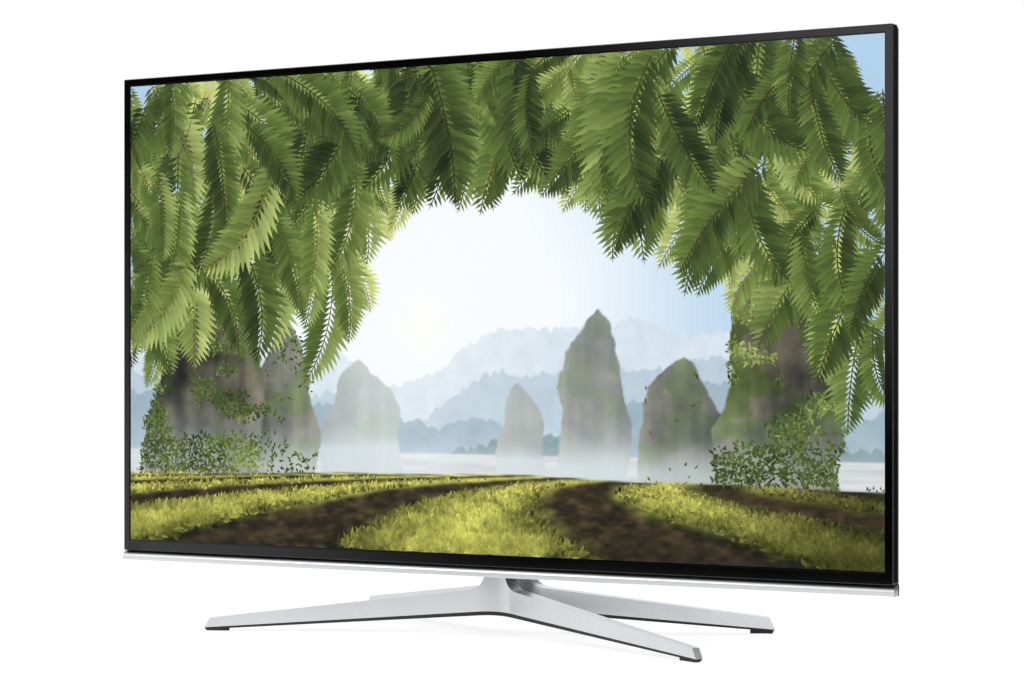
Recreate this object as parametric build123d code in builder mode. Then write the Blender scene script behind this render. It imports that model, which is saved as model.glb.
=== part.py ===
from build123d import *
import os
from collections import namedtuple
from math import hypot

# Flat screen television on a fixed four-legged stand.
# Millimetres, +Z up, the screen faces -Y. The origin is on the floor, in the middle between the leg tips.
# "Depth" is the distance behind the front of the bezel.

# Overall
picture_width = 1054.0
picture_height = 592.9
picture_centre_z = 397.5
screen_to_stand = 69.5
fit_gap = 0.3
cut_overrun = 5.0

# Front bezel and the moulding under it
bezel_side = 10.5
bezel_top = 10.0
bezel_bottom = 14.2
bezel_face = 1.6
bezel_wall = 1.8
bezel_depth = 12.5
bezel_corner = 2.0
bezel_edge = 1.0
picture_margin = 1.5
trim_height = 12.4
trim_depth = 16.5
trim_proud = 1.0
trim_overhang = 1.0
trim_recess = 8.0
trim_lip_height = 5.6
trim_curve_rise = 1.2
trim_edge = 0.6
sensor_width = 21.6
sensor_height = 8.4
sensor_from_side = 6.5
sensor_lift = 0.8
sensor_gap = 0.1

# Panel stack, from the front backwards
polariser_thickness = 0.25
glass_thickness = 1.8
glass_border = 4.5
ledge_thickness = 1.6
ledge_overlap = 3.5
film_thickness = 0.3
guide_thickness = 3.0
guide_height_border = 2.5
reflector_thickness = 0.3
chassis_thickness = 1.0
chassis_flange = 1.0
skirt_thickness = 1.4
skirt_depth = 8.6
skirt_gap = 0.4
led_strip_thickness = 1.0
led_strip_gap = 0.2
led_thickness = 0.8
led_length = 5.6
led_width = 2.4
led_count = 60
led_to_guide = 0.3
spreader_wall = 1.2
spreader_reach = 32.0
spreader_to_skirt = 0.7

# Rear cover
side_depth = 22.0
cover_wall = 2.2
cover_round = 7.0
cover_corner = 5.0
bulge_width = 820.0
bulge_bottom_z = 84.0
bulge_top_z = 612.0
bulge_depth = 80.0
bulge_taper = 20.0
bulge_top_taper = 60.0
bulge_corner = 26.0
bulge_round = 9.0
vent_width = 3.2
vent_length = 26.0
vent_pitch = 12.0
vent_count = 40
vent_row_pitch = 64.0
vent_top_z = 584.0
grille_width = 2.4
grille_length = 24.0
grille_pitch = 7.0
grille_count = 30
bay_wall_x = 372.0
bay_near_depth = 24.0
bay_far_depth = 62.0
bay_bottom_z = 164.0
bay_top_z = 444.0
inlet_bay_bottom_z = 188.0
inlet_bay_top_z = 252.0

# Wall mount, 400 by 400 for M8 bolts
wall_mount_pitch = 400.0
wall_mount_z = 345.0
wall_bolt_radius = 4.0
wall_bolt_depth = 16.0
wall_column_radius = 8.0

# Stand
stand_depth = 311.0
front_reach = 339.0
rear_reach = 295.0
front_neck_half = 15.0
rear_neck_half = 16.8
rear_bend_x = 34.0
neck_front_y = -20.5
neck_join_y = 4.5
rear_arch_front_y = 21.5
rear_arch_back_y = 39.5
rear_neck_top = 82.0
rear_web_half = 5.3
rear_web_bottom = 38.0
front_flare = 20.0
rear_flare = 31.0
neck_inside = 9.0
leg_tip_thickness = 10.0
front_hub_top = 57.5
front_hub_bottom = 28.5
front_tip_top = 14.6
front_tip_bottom = 3.6
rear_hub_top = 60.5
rear_hub_bottom = 32.5
rear_tip_top = 18.5
rear_tip_bottom = 5.0
leg_tip_slant = 6.0
leg_bend_radius = 60.0
leg_back_bend = 20.0
leg_hub_radius = 300.0
leg_corner = 1.6
leg_wall = 2.6
leg_solid_half = 46.0
underside_hub = 5.0
underside_tip = 2.4
underside_inset = 0.5
pad_length = 28.0
pad_width = 8.0
pad_from_tip = 2.0
core_half = 13.0
core_front_y = -15.5
core_rear_y = -3.5
core_gap = 0.15
core_bottom_z = 34.0
core_top_z = 186.0
core_plate_width = 96.0
core_plate_height = 72.0
core_plate_thickness = 4.0
bracket_width = 100.0
bracket_bottom_z = 124.0
bracket_wall = 2.5
bracket_flange = 14.0
stand_screw_x = 38.0
stand_screw_pitch_z = 40.0

# Boards
board_thickness = 1.6
low_standoff = 8.0
high_standoff = 16.0
standoff_radius = 3.5
board_screw_radius = 1.5
board_screw_head_radius = 3.0
board_screw_head = 2.0
screw_gap = 0.1
board_screw_inset = 8.0

# Cover screws
cover_screw_radius = 1.5
cover_screw_head_radius = 3.6
cover_screw_head = 2.2
cover_screw_sink = 3.0
cover_boss_radius = 5.0

# M4 screws of the stand
stand_screw_radius = 2.0
stand_screw_head_radius = 3.7
stand_screw_head = 2.6

# Rear controller
knob_x = -340.0
knob_z = 132.0
knob_radius = 8.0
knob_proud = 3.4
knob_dish_depth = 0.6
knob_rim = 1.8
knob_edge = 0.8
knob_hole_radius = 11.5
pivot_depth = 66.0
pin_radius = 1.2
pin_gap = 0.05


# Worked out from the above
front_y = -screen_to_stand
body_width = picture_width + 2 * bezel_side
bezel_top_z = picture_centre_z + picture_height / 2 + bezel_top
bezel_bottom_z = picture_centre_z - picture_height / 2 - bezel_bottom
bezel_height = bezel_top_z - bezel_bottom_z
bezel_mid_z = (bezel_top_z + bezel_bottom_z) / 2
body_bottom_z = bezel_bottom_z - trim_height
glass_start = bezel_face
ledge_start = glass_start + glass_thickness
film_start = ledge_start + ledge_thickness
guide_start = film_start + 2 * film_thickness
reflector_start = guide_start + guide_thickness
chassis_start = reflector_start + reflector_thickness
chassis_back = chassis_start + chassis_thickness
glass_width = picture_width + 2 * glass_border
glass_height = picture_height + 2 * glass_border
skirt_half_width = body_width / 2 - bezel_wall - skirt_gap
skirt_top_z = bezel_top_z - bezel_wall - skirt_gap
skirt_bottom_z = bezel_bottom_z + bezel_wall + skirt_gap
spreader_outer = skirt_half_width - skirt_thickness - spreader_to_skirt
led_strip_outer = spreader_outer - spreader_wall
guide_half_width = led_strip_outer - led_strip_thickness - led_thickness - led_to_guide
guide_height = glass_height - 2 * guide_height_border
low_board_start = chassis_back + low_standoff
high_board_start = chassis_back + high_standoff


def depth_plane(depth):
    """Upright plane a depth behind the bezel's front; local x is X and local y is Z."""
    return Plane.XZ.offset(-(front_y + depth))


def write_piece(piece, label):
    piece.part.label = label
    export_step(piece.part, f"parts/{label}.step")


def slab(width, height, centre_x, centre_z, start, thickness):
    """Flat upright sheet or board, from its start depth backwards."""
    with BuildPart() as sheet:
        with BuildSketch(depth_plane(start)):
            with Locations((centre_x, centre_z)):
                Rectangle(width, height)
        extrude(amount=-thickness)
    return sheet


os.makedirs("parts", exist_ok=True)


# Front bezel: one moulded frame with a thin face and a wall that wraps the side
window_width = picture_width + 2 * picture_margin
window_height = picture_height + 2 * picture_margin
sensor_x = -body_width / 2 + sensor_from_side + sensor_width / 2
sensor_z = bezel_bottom_z + sensor_lift + sensor_height / 2
with BuildPart() as front_bezel:
    with BuildSketch(depth_plane(0)):
        with Locations((0, bezel_mid_z)):
            RectangleRounded(body_width, bezel_height, bezel_corner)
    extrude(amount=-bezel_depth)
    fillet(front_bezel.faces().sort_by(Axis.Y)[0].outer_wire().edges(), bezel_edge)
    with BuildSketch(depth_plane(bezel_face)):
        with Locations((0, bezel_mid_z)):
            Rectangle(body_width - 2 * bezel_wall, bezel_height - 2 * bezel_wall)
    extrude(amount=-bezel_depth, mode=Mode.SUBTRACT)
    with BuildSketch(depth_plane(0)):
        with Locations((0, picture_centre_z)):
            Rectangle(window_width, window_height)
        with Locations((sensor_x, sensor_z)):
            Rectangle(sensor_width, sensor_height)
    extrude(amount=-bezel_face, mode=Mode.SUBTRACT)
write_piece(front_bezel, "front_bezel")

sensor_window = slab(
    sensor_width - 2 * sensor_gap, sensor_height - 2 * sensor_gap, sensor_x, sensor_z, 0, bezel_face
)
write_piece(sensor_window, "sensor_window")

# Silver moulding under the bezel: a recessed top, a hollow curve and a bright lip at the bottom
lip_y = front_y - trim_proud
trim_back_y = lip_y + trim_depth
with BuildPart() as bottom_trim:
    with BuildSketch(Plane.YZ.offset(-body_width / 2 - trim_overhang)):
        with BuildLine():
            recess_point = (front_y + trim_recess, bezel_bottom_z)
            lip_point = (lip_y, body_bottom_z + trim_lip_height)
            Polyline(
                recess_point,
                (trim_back_y, bezel_bottom_z),
                (trim_back_y, body_bottom_z),
                (lip_y + trim_edge, body_bottom_z),
                (lip_y, body_bottom_z + trim_edge),
                lip_point,
            )
            SagittaArc(lip_point, recess_point, trim_curve_rise)
        make_face()
    extrude(amount=body_width + 2 * trim_overhang)
write_piece(bottom_trim, "bottom_trim")

# Panel stack
polariser_start = bezel_face - polariser_thickness
front_polariser = slab(
    picture_width, picture_height, 0, picture_centre_z, polariser_start, polariser_thickness
)
write_piece(front_polariser, "front_polariser")
lcd_glass = slab(glass_width, glass_height, 0, picture_centre_z, glass_start, glass_thickness)
write_piece(lcd_glass, "lcd_glass")
prism_film = slab(2 * guide_half_width, guide_height, 0, picture_centre_z, film_start, film_thickness)
write_piece(prism_film, "prism_film")
diffuser_film = slab(
    2 * guide_half_width, guide_height, 0, picture_centre_z, film_start + film_thickness, film_thickness
)
write_piece(diffuser_film, "diffuser_film")
light_guide = slab(2 * guide_half_width, guide_height, 0, picture_centre_z, guide_start, guide_thickness)
write_piece(light_guide, "light_guide")
reflector_sheet = slab(
    2 * guide_half_width, guide_height, 0, picture_centre_z, reflector_start, reflector_thickness
)
write_piece(reflector_sheet, "reflector_sheet")

# Flexible films that join the glass to the source boards, through slots in the mid frame
flex_width = 40.0
flex_thickness = 0.3
flex_front_depth = 2.4
flex_run_z = 92.5
flex_board_z = 107.0
flex_pitch = 104.0
flex_slot_gap = 0.4
source_board_width = 430.0
source_board_height = 22.0
source_board_x = 232.0
source_board_z = 111.0
source_board_thickness = 1.2
source_board_back = chassis_back + source_board_thickness
flex_side_count = 4
glass_bottom_z = picture_centre_z - glass_height / 2
flex_places = [
    (side * source_board_x + (n - (flex_side_count - 1) / 2) * flex_pitch, 0)
    for side in (-1, 1)
    for n in range(flex_side_count)
]
# The sensor board sits in front of the mid frame's ledge; its lead passes through a hole there
sensor_board_height = 7.0
sensor_lead_side = 8.0
signal_wire_radius = 0.7
sensor_board_z = skirt_bottom_z + screw_gap + sensor_board_height / 2
sensor_lead_x = sensor_x + sensor_lead_side

with BuildPart() as mid_frame:
    with BuildSketch(depth_plane(ledge_start)):
        with Locations((0, (skirt_top_z + skirt_bottom_z) / 2)):
            Rectangle(2 * skirt_half_width, skirt_top_z - skirt_bottom_z)
    extrude(amount=-skirt_depth)
    with BuildSketch(depth_plane(film_start)):
        with Locations((0, (skirt_top_z + skirt_bottom_z) / 2)):
            Rectangle(
                2 * (skirt_half_width - skirt_thickness), skirt_top_z - skirt_bottom_z - 2 * skirt_thickness
            )
    extrude(amount=-skirt_depth, mode=Mode.SUBTRACT)
    with BuildSketch(depth_plane(ledge_start)):
        with Locations((0, picture_centre_z)):
            Rectangle(glass_width - 2 * ledge_overlap, glass_height - 2 * ledge_overlap)
        with Locations((0, flex_run_z + flex_thickness / 2)):
            with Locations(*flex_places):
                Rectangle(flex_width + 2 * flex_slot_gap, flex_thickness + 2 * flex_slot_gap)
        with Locations((sensor_lead_x, sensor_board_z)):
            Circle(signal_wire_radius + fit_gap)
    extrude(amount=-ledge_thickness, mode=Mode.SUBTRACT)
write_piece(mid_frame, "mid_frame")

with BuildPart() as panel_flex_films:
    with BuildSketch(Plane.YZ.offset(-flex_width / 2)):
        Polygon(
            (front_y + flex_front_depth, glass_bottom_z),
            (front_y + flex_front_depth, flex_run_z),
            (front_y + source_board_back + flex_thickness, flex_run_z),
            (front_y + source_board_back + flex_thickness, flex_board_z),
            (front_y + source_board_back, flex_board_z),
            (front_y + source_board_back, flex_run_z + flex_thickness),
            (front_y + flex_front_depth + flex_thickness, flex_run_z + flex_thickness),
            (front_y + flex_front_depth + flex_thickness, glass_bottom_z),
            align=None,
        )
    one_flex = extrude(amount=flex_width, mode=Mode.PRIVATE)
    with Locations(*[(x, 0, 0) for x, _ in flex_places]):
        add(one_flex)
write_piece(panel_flex_films, "panel_flex_films")

ribbon_plug_height = 5.0
ribbon_plug_thickness = 2.0
ribbon_plug_lift = 2.0
source_ribbon_x = 72.5
source_ribbon_width = 14.0
ribbon_plug_z = flex_board_z + ribbon_plug_lift + ribbon_plug_height / 2
with BuildPart() as source_boards:
    with BuildSketch(depth_plane(chassis_back)):
        with Locations((-source_board_x, source_board_z), (source_board_x, source_board_z)):
            Rectangle(source_board_width, source_board_height)
    extrude(amount=-source_board_thickness)
    with BuildSketch(depth_plane(source_board_back)):
        with Locations((-source_ribbon_x, ribbon_plug_z), (source_ribbon_x, ribbon_plug_z)):
            Rectangle(source_ribbon_width, ribbon_plug_height)
    extrude(amount=-ribbon_plug_thickness)
write_piece(source_boards, "source_boards")

# Light bars on the two short sides, each on its aluminium spreader
strip_depth = film_start + led_strip_gap
strip_width = chassis_start - led_strip_gap - strip_depth
led_pitch = guide_height / led_count
with BuildPart() as led_strips:
    with BuildSketch(depth_plane(strip_depth)):
        with Locations((led_strip_outer - led_strip_thickness / 2, picture_centre_z)):
            Rectangle(led_strip_thickness, guide_height)
    extrude(amount=-strip_width)
    with BuildSketch(depth_plane(strip_depth + (strip_width - led_width) / 2)):
        with Locations((led_strip_outer - led_strip_thickness - led_thickness / 2, picture_centre_z)):
            with GridLocations(0, led_pitch, 1, led_count):
                Rectangle(led_thickness, led_length)
    extrude(amount=-led_width)
    mirror(about=Plane.YZ)
write_piece(led_strips, "led_strips")

with BuildPart() as heat_spreaders:
    with BuildSketch(Plane.XY.offset(picture_centre_z - guide_height / 2)):
        Polygon(
            (spreader_outer, front_y + film_start),
            (spreader_outer, front_y + chassis_back + spreader_wall),
            (spreader_outer - spreader_reach, front_y + chassis_back + spreader_wall),
            (spreader_outer - spreader_reach, front_y + chassis_back),
            (led_strip_outer, front_y + chassis_back),
            (led_strip_outer, front_y + film_start),
            align=None,
        )
    extrude(amount=guide_height)
    mirror(about=Plane.YZ)
write_piece(heat_spreaders, "heat_spreaders")

# Places of the boards: centre x, centre z, width, height
main_board_width = 248.0
main_board_height = 272.0
main_board_x = bay_wall_x - cover_wall - fit_gap - main_board_width / 2
main_board_z = (bay_bottom_z + bay_top_z) / 2
power_board_width = 256.0
power_board_height = 216.0
power_board_x = -204.0
power_board_z = 290.0
tcon_width = 270.0
tcon_height = 52.0
tcon_x = 30.0
tcon_z = 520.0


def board_corners(x, z, width, height):
    """Four screw places, set in from the corners of a board."""
    dx = width / 2 - board_screw_inset
    dz = height / 2 - board_screw_inset
    return [(x - dx, z - dz), (x + dx, z - dz), (x - dx, z + dz), (x + dx, z + dz)]


socket_strip = 14.0
main_corners = board_corners(
    main_board_x - socket_strip / 2, main_board_z, main_board_width - socket_strip, main_board_height
)
power_corners = board_corners(power_board_x, power_board_z, power_board_width, power_board_height)
tcon_corners = board_corners(tcon_x, tcon_z, tcon_width, tcon_height)
low_corners = power_corners + tcon_corners

# Screws of the rear cover, in the thin band around the bulge
cover_screw_x = 482.0
cover_screw_inner_x = 236.0
cover_screw_top_z = 664.0
cover_screw_low_z = 132.0
cover_screw_mid_z = 300.0
cover_screw_high_z = 490.0
cover_screw_places = [(x, cover_screw_top_z) for x in (-cover_screw_x, -cover_screw_inner_x, 0)]
cover_screw_places += [(x, cover_screw_top_z) for x in (cover_screw_inner_x, cover_screw_x)]
for side_z in (cover_screw_low_z, cover_screw_mid_z, cover_screw_high_z):
    cover_screw_places += [(-cover_screw_x, side_z), (cover_screw_x, side_z)]

# Steel tray behind the panel, with standoffs for the boards
tray_half_width = led_strip_outer - screw_gap
tray_bottom_z = picture_centre_z - guide_height / 2 - chassis_flange - guide_height_border
tray_top_z = picture_centre_z + guide_height / 2 + chassis_flange + guide_height_border
with BuildPart() as rear_chassis:
    with BuildSketch(depth_plane(chassis_start)):
        with Locations((0, (tray_top_z + tray_bottom_z) / 2)):
            Rectangle(2 * tray_half_width, tray_top_z - tray_bottom_z)
    extrude(amount=-chassis_thickness)
    with BuildSketch(depth_plane(film_start)):
        with Locations((0, tray_bottom_z + chassis_flange / 2), (0, tray_top_z - chassis_flange / 2)):
            Rectangle(2 * tray_half_width, chassis_flange)
    extrude(amount=-(chassis_start - film_start))
    with BuildSketch(depth_plane(chassis_back)):
        with Locations(*low_corners):
            Circle(standoff_radius)
    extrude(amount=-low_standoff)
    with BuildSketch(depth_plane(chassis_back)):
        with Locations(*main_corners):
            Circle(standoff_radius)
    extrude(amount=-high_standoff)
    with BuildSketch(depth_plane(chassis_back)):
        with Locations(*low_corners, *main_corners):
            Circle(board_screw_radius + screw_gap)
    extrude(amount=-high_standoff, mode=Mode.SUBTRACT)
    with BuildSketch(depth_plane(chassis_start)):
        with Locations(*cover_screw_places):
            Circle(cover_screw_radius + screw_gap)
    extrude(amount=-chassis_thickness, mode=Mode.SUBTRACT)
write_piece(rear_chassis, "rear_chassis")

# Rear cover: a thin rim around the whole back and a deep bulge over the boards
cover_height = bezel_top_z - body_bottom_z
cover_mid_z = (bezel_top_z + body_bottom_z) / 2


def cover_form(inset):
    """Filled form of the rear cover, drawn in by the wall for its inside."""
    near_height = bulge_top_z - bulge_bottom_z - 2 * inset
    far_height = near_height - bulge_top_taper
    with BuildPart() as form:
        with BuildSketch(depth_plane(bezel_depth)):
            with Locations((0, cover_mid_z)):
                RectangleRounded(body_width - 2 * inset, cover_height - 2 * inset, cover_corner)
        extrude(amount=-(side_depth - inset - bezel_depth))
        fillet(form.faces().sort_by(Axis.Y)[-1].outer_wire().edges(), cover_round)
        with BuildSketch(depth_plane(side_depth - cover_round)):
            with Locations((0, bulge_bottom_z + inset + near_height / 2)):
                RectangleRounded(bulge_width - 2 * inset, near_height, bulge_corner)
        with BuildSketch(depth_plane(bulge_depth - inset)):
            with Locations((0, bulge_bottom_z + inset + far_height / 2)):
                RectangleRounded(bulge_width - 2 * bulge_taper - 2 * inset, far_height, bulge_corner)
        loft()
        fillet(form.faces().sort_by(Axis.Y)[-1].outer_wire().edges(), bulge_round)
    return form.part


def bay_block(side, grow, bottom_z, top_z):
    """Block in the side of the bulge where plugs go in; grow adds its wall."""
    length = bulge_width / 2 + cut_overrun - bay_wall_x + grow
    depth = bay_far_depth - bay_near_depth + 2 * grow
    with BuildPart() as block:
        with BuildSketch(Plane.XY.offset(bottom_z - grow)):
            with Locations(
                (side * (bay_wall_x - grow + length / 2), front_y + bay_near_depth - grow + depth / 2)
            ):
                Rectangle(length, depth)
        extrude(amount=top_z - bottom_z + 2 * grow)
    return block.part


# Sockets stand in a column on the main board's edge; each takes its own width along Z
board_face = high_board_start + board_thickness
board_face_y = front_y + board_face
socket_back_x = 354.0
socket_proud = 0.8
socket_mouth_x = bay_wall_x + socket_proud
socket_gap = 4.5
socket_margin = 6.0
socket_clearance = 0.3
card_width = 60.0
card_height = 7.6
card_mouth_width = 55.0
card_mouth_height = 5.2
card_mouth_depth = 16.0
usb_width = 14.6
usb_height = 7.2
usb_mouth_width = 12.8
usb_mouth_height = 5.4
usb_mouth_depth = 14.0
usb_count = 3
hdmi_width = 15.6
hdmi_height = 6.4
hdmi_mouth_width = 14.2
hdmi_mouth_height = 5.0
hdmi_mouth_depth = 12.0
hdmi_count = 4
lan_width = 16.6
lan_height = 13.6
lan_mouth_width = 12.0
lan_mouth_height = 8.4
lan_mouth_depth = 15.0
jack_width = 8.4
jack_height = 9.0
jack_collar_radius = 3.6
jack_bore_radius = 1.8
jack_bore_depth = 14.0
jack_count = 2
antenna_width = 14.0
antenna_barrel_radius = 4.7
antenna_barrel_length = 12.0
antenna_bore_radius = 0.8
antenna_bore_depth = 8.0


def column_places(top_z, count, width):
    """Centres of sockets going down from a height."""
    return [top_z - width / 2 - n * (width + socket_gap) for n in range(count)]


def column_next(top_z, count, width):
    return top_z - count * (width + socket_gap)


card_top = bay_top_z - socket_margin
usb_top = column_next(card_top, 1, card_width)
hdmi_top = column_next(usb_top, usb_count, usb_width)
lan_top = column_next(hdmi_top, hdmi_count, hdmi_width)
jack_top = column_next(lan_top, 1, lan_width)
antenna_top = column_next(jack_top, jack_count, jack_width)
card_z = column_places(card_top, 1, card_width)
usb_z = column_places(usb_top, usb_count, usb_width)
hdmi_z = column_places(hdmi_top, hdmi_count, hdmi_width)
lan_z = column_places(lan_top, 1, lan_width)
jack_z = column_places(jack_top, jack_count, jack_width)
antenna_z = column_places(antenna_top, 1, antenna_width)


def box_sockets(places, width, height, mouth_width, mouth_height, mouth_depth):
    """Open-mouthed sockets on the main board's rear face, looking out to +X."""
    centres = [(board_face_y + height / 2, z) for z in places]
    with BuildPart() as sockets:
        with BuildSketch(Plane.YZ.offset(socket_back_x)):
            with Locations(*centres):
                Rectangle(height, width)
        extrude(amount=socket_mouth_x - socket_back_x)
        with BuildSketch(Plane.YZ.offset(socket_mouth_x)):
            with Locations(*centres):
                Rectangle(mouth_height, mouth_width)
        extrude(amount=-mouth_depth, mode=Mode.SUBTRACT)
    return sockets


write_piece(
    box_sockets(card_z, card_width, card_height, card_mouth_width, card_mouth_height, card_mouth_depth),
    "card_slot",
)
write_piece(
    box_sockets(usb_z, usb_width, usb_height, usb_mouth_width, usb_mouth_height, usb_mouth_depth),
    "usb_sockets",
)
write_piece(
    box_sockets(hdmi_z, hdmi_width, hdmi_height, hdmi_mouth_width, hdmi_mouth_height, hdmi_mouth_depth),
    "hdmi_sockets",
)
write_piece(
    box_sockets(lan_z, lan_width, lan_height, lan_mouth_width, lan_mouth_height, lan_mouth_depth),
    "network_socket",
)

inside_wall_x = bay_wall_x - cover_wall - fit_gap
jack_centres = [(board_face_y + jack_height / 2, z) for z in jack_z]
with BuildPart() as audio_jacks:
    with BuildSketch(Plane.YZ.offset(socket_back_x)):
        with Locations(*jack_centres):
            Rectangle(jack_height, jack_width)
    extrude(amount=inside_wall_x - socket_back_x)
    with BuildSketch(Plane.YZ.offset(inside_wall_x)):
        with Locations(*jack_centres):
            Circle(jack_collar_radius)
    extrude(amount=socket_mouth_x - inside_wall_x)
    with BuildSketch(Plane.YZ.offset(socket_mouth_x)):
        with Locations(*jack_centres):
            Circle(jack_bore_radius)
    extrude(amount=-jack_bore_depth, mode=Mode.SUBTRACT)
write_piece(audio_jacks, "audio_jacks")

antenna_centres = [(board_face_y + antenna_width / 2, z) for z in antenna_z]
with BuildPart() as antenna_jack:
    with BuildSketch(Plane.YZ.offset(socket_back_x)):
        with Locations(*antenna_centres):
            Rectangle(antenna_width, antenna_width)
    extrude(amount=inside_wall_x - socket_back_x)
    with BuildSketch(Plane.YZ.offset(inside_wall_x)):
        with Locations(*antenna_centres):
            Circle(antenna_barrel_radius)
    extrude(amount=bay_wall_x - inside_wall_x + antenna_barrel_length)
    with BuildSketch(Plane.YZ.offset(bay_wall_x + antenna_barrel_length)):
        with Locations(*antenna_centres):
            Circle(antenna_bore_radius)
    extrude(amount=-antenna_bore_depth, mode=Mode.SUBTRACT)
write_piece(antenna_jack, "antenna_jack")

# Mains inlet in the bay of the other side: two poles in a round-ended recess
inlet_z = (inlet_bay_bottom_z + inlet_bay_top_z) / 2
inlet_depth = (bay_near_depth + bay_far_depth) / 2
inlet_width = 26.0
inlet_height = 18.0
inlet_flange = 3.0
inlet_flange_thickness = 2.0
inlet_length = 23.0
inlet_mouth_width = 16.6
inlet_mouth_height = 8.8
inlet_mouth_depth = 12.0
inlet_pin_radius = 1.2
inlet_pin_pitch = 8.6
inlet_pin_length = 8.0
inlet_tail = 4.0
inlet_y = front_y + inlet_depth
inlet_floor_x = -socket_mouth_x + inlet_mouth_depth
inlet_back_x = -socket_mouth_x + inlet_length
inlet_pin_places = [(inlet_y, inlet_z - inlet_pin_pitch / 2), (inlet_y, inlet_z + inlet_pin_pitch / 2)]
with BuildPart() as power_inlet:
    with BuildSketch(Plane.YZ.offset(-socket_mouth_x)):
        with Locations((inlet_y, inlet_z)):
            Rectangle(inlet_height, inlet_width)
    extrude(amount=inlet_length)
    with BuildSketch(Plane.YZ.offset(-bay_wall_x + cover_wall)):
        with Locations((inlet_y, inlet_z)):
            Rectangle(inlet_height + 2 * inlet_flange, inlet_width + 2 * inlet_flange)
    extrude(amount=inlet_flange_thickness)
    with BuildSketch(Plane.YZ.offset(-socket_mouth_x)):
        with Locations((inlet_y, inlet_z)):
            SlotOverall(inlet_mouth_width, inlet_mouth_height, rotation=90)
    extrude(amount=inlet_mouth_depth, mode=Mode.SUBTRACT)
    with BuildSketch(Plane.YZ.offset(inlet_floor_x)):
        with Locations(*inlet_pin_places):
            Circle(inlet_pin_radius + pin_gap)
    extrude(amount=inlet_length, mode=Mode.SUBTRACT)
write_piece(power_inlet, "power_inlet")

with BuildPart() as inlet_pins:
    with BuildSketch(Plane.YZ.offset(inlet_floor_x - inlet_pin_length)):
        with Locations(*inlet_pin_places):
            Circle(inlet_pin_radius)
    extrude(amount=inlet_back_x + inlet_tail - inlet_floor_x + inlet_pin_length)
write_piece(inlet_pins, "inlet_pins")

# The cover itself
cover_outside = cover_form(0)
cover_inside = cover_form(cover_wall)
with BuildPart() as bay_walls:
    add(bay_block(1, cover_wall, bay_bottom_z, bay_top_z))
    add(bay_block(-1, cover_wall, inlet_bay_bottom_z, inlet_bay_top_z))
    add(cover_outside, mode=Mode.INTERSECT)

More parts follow.
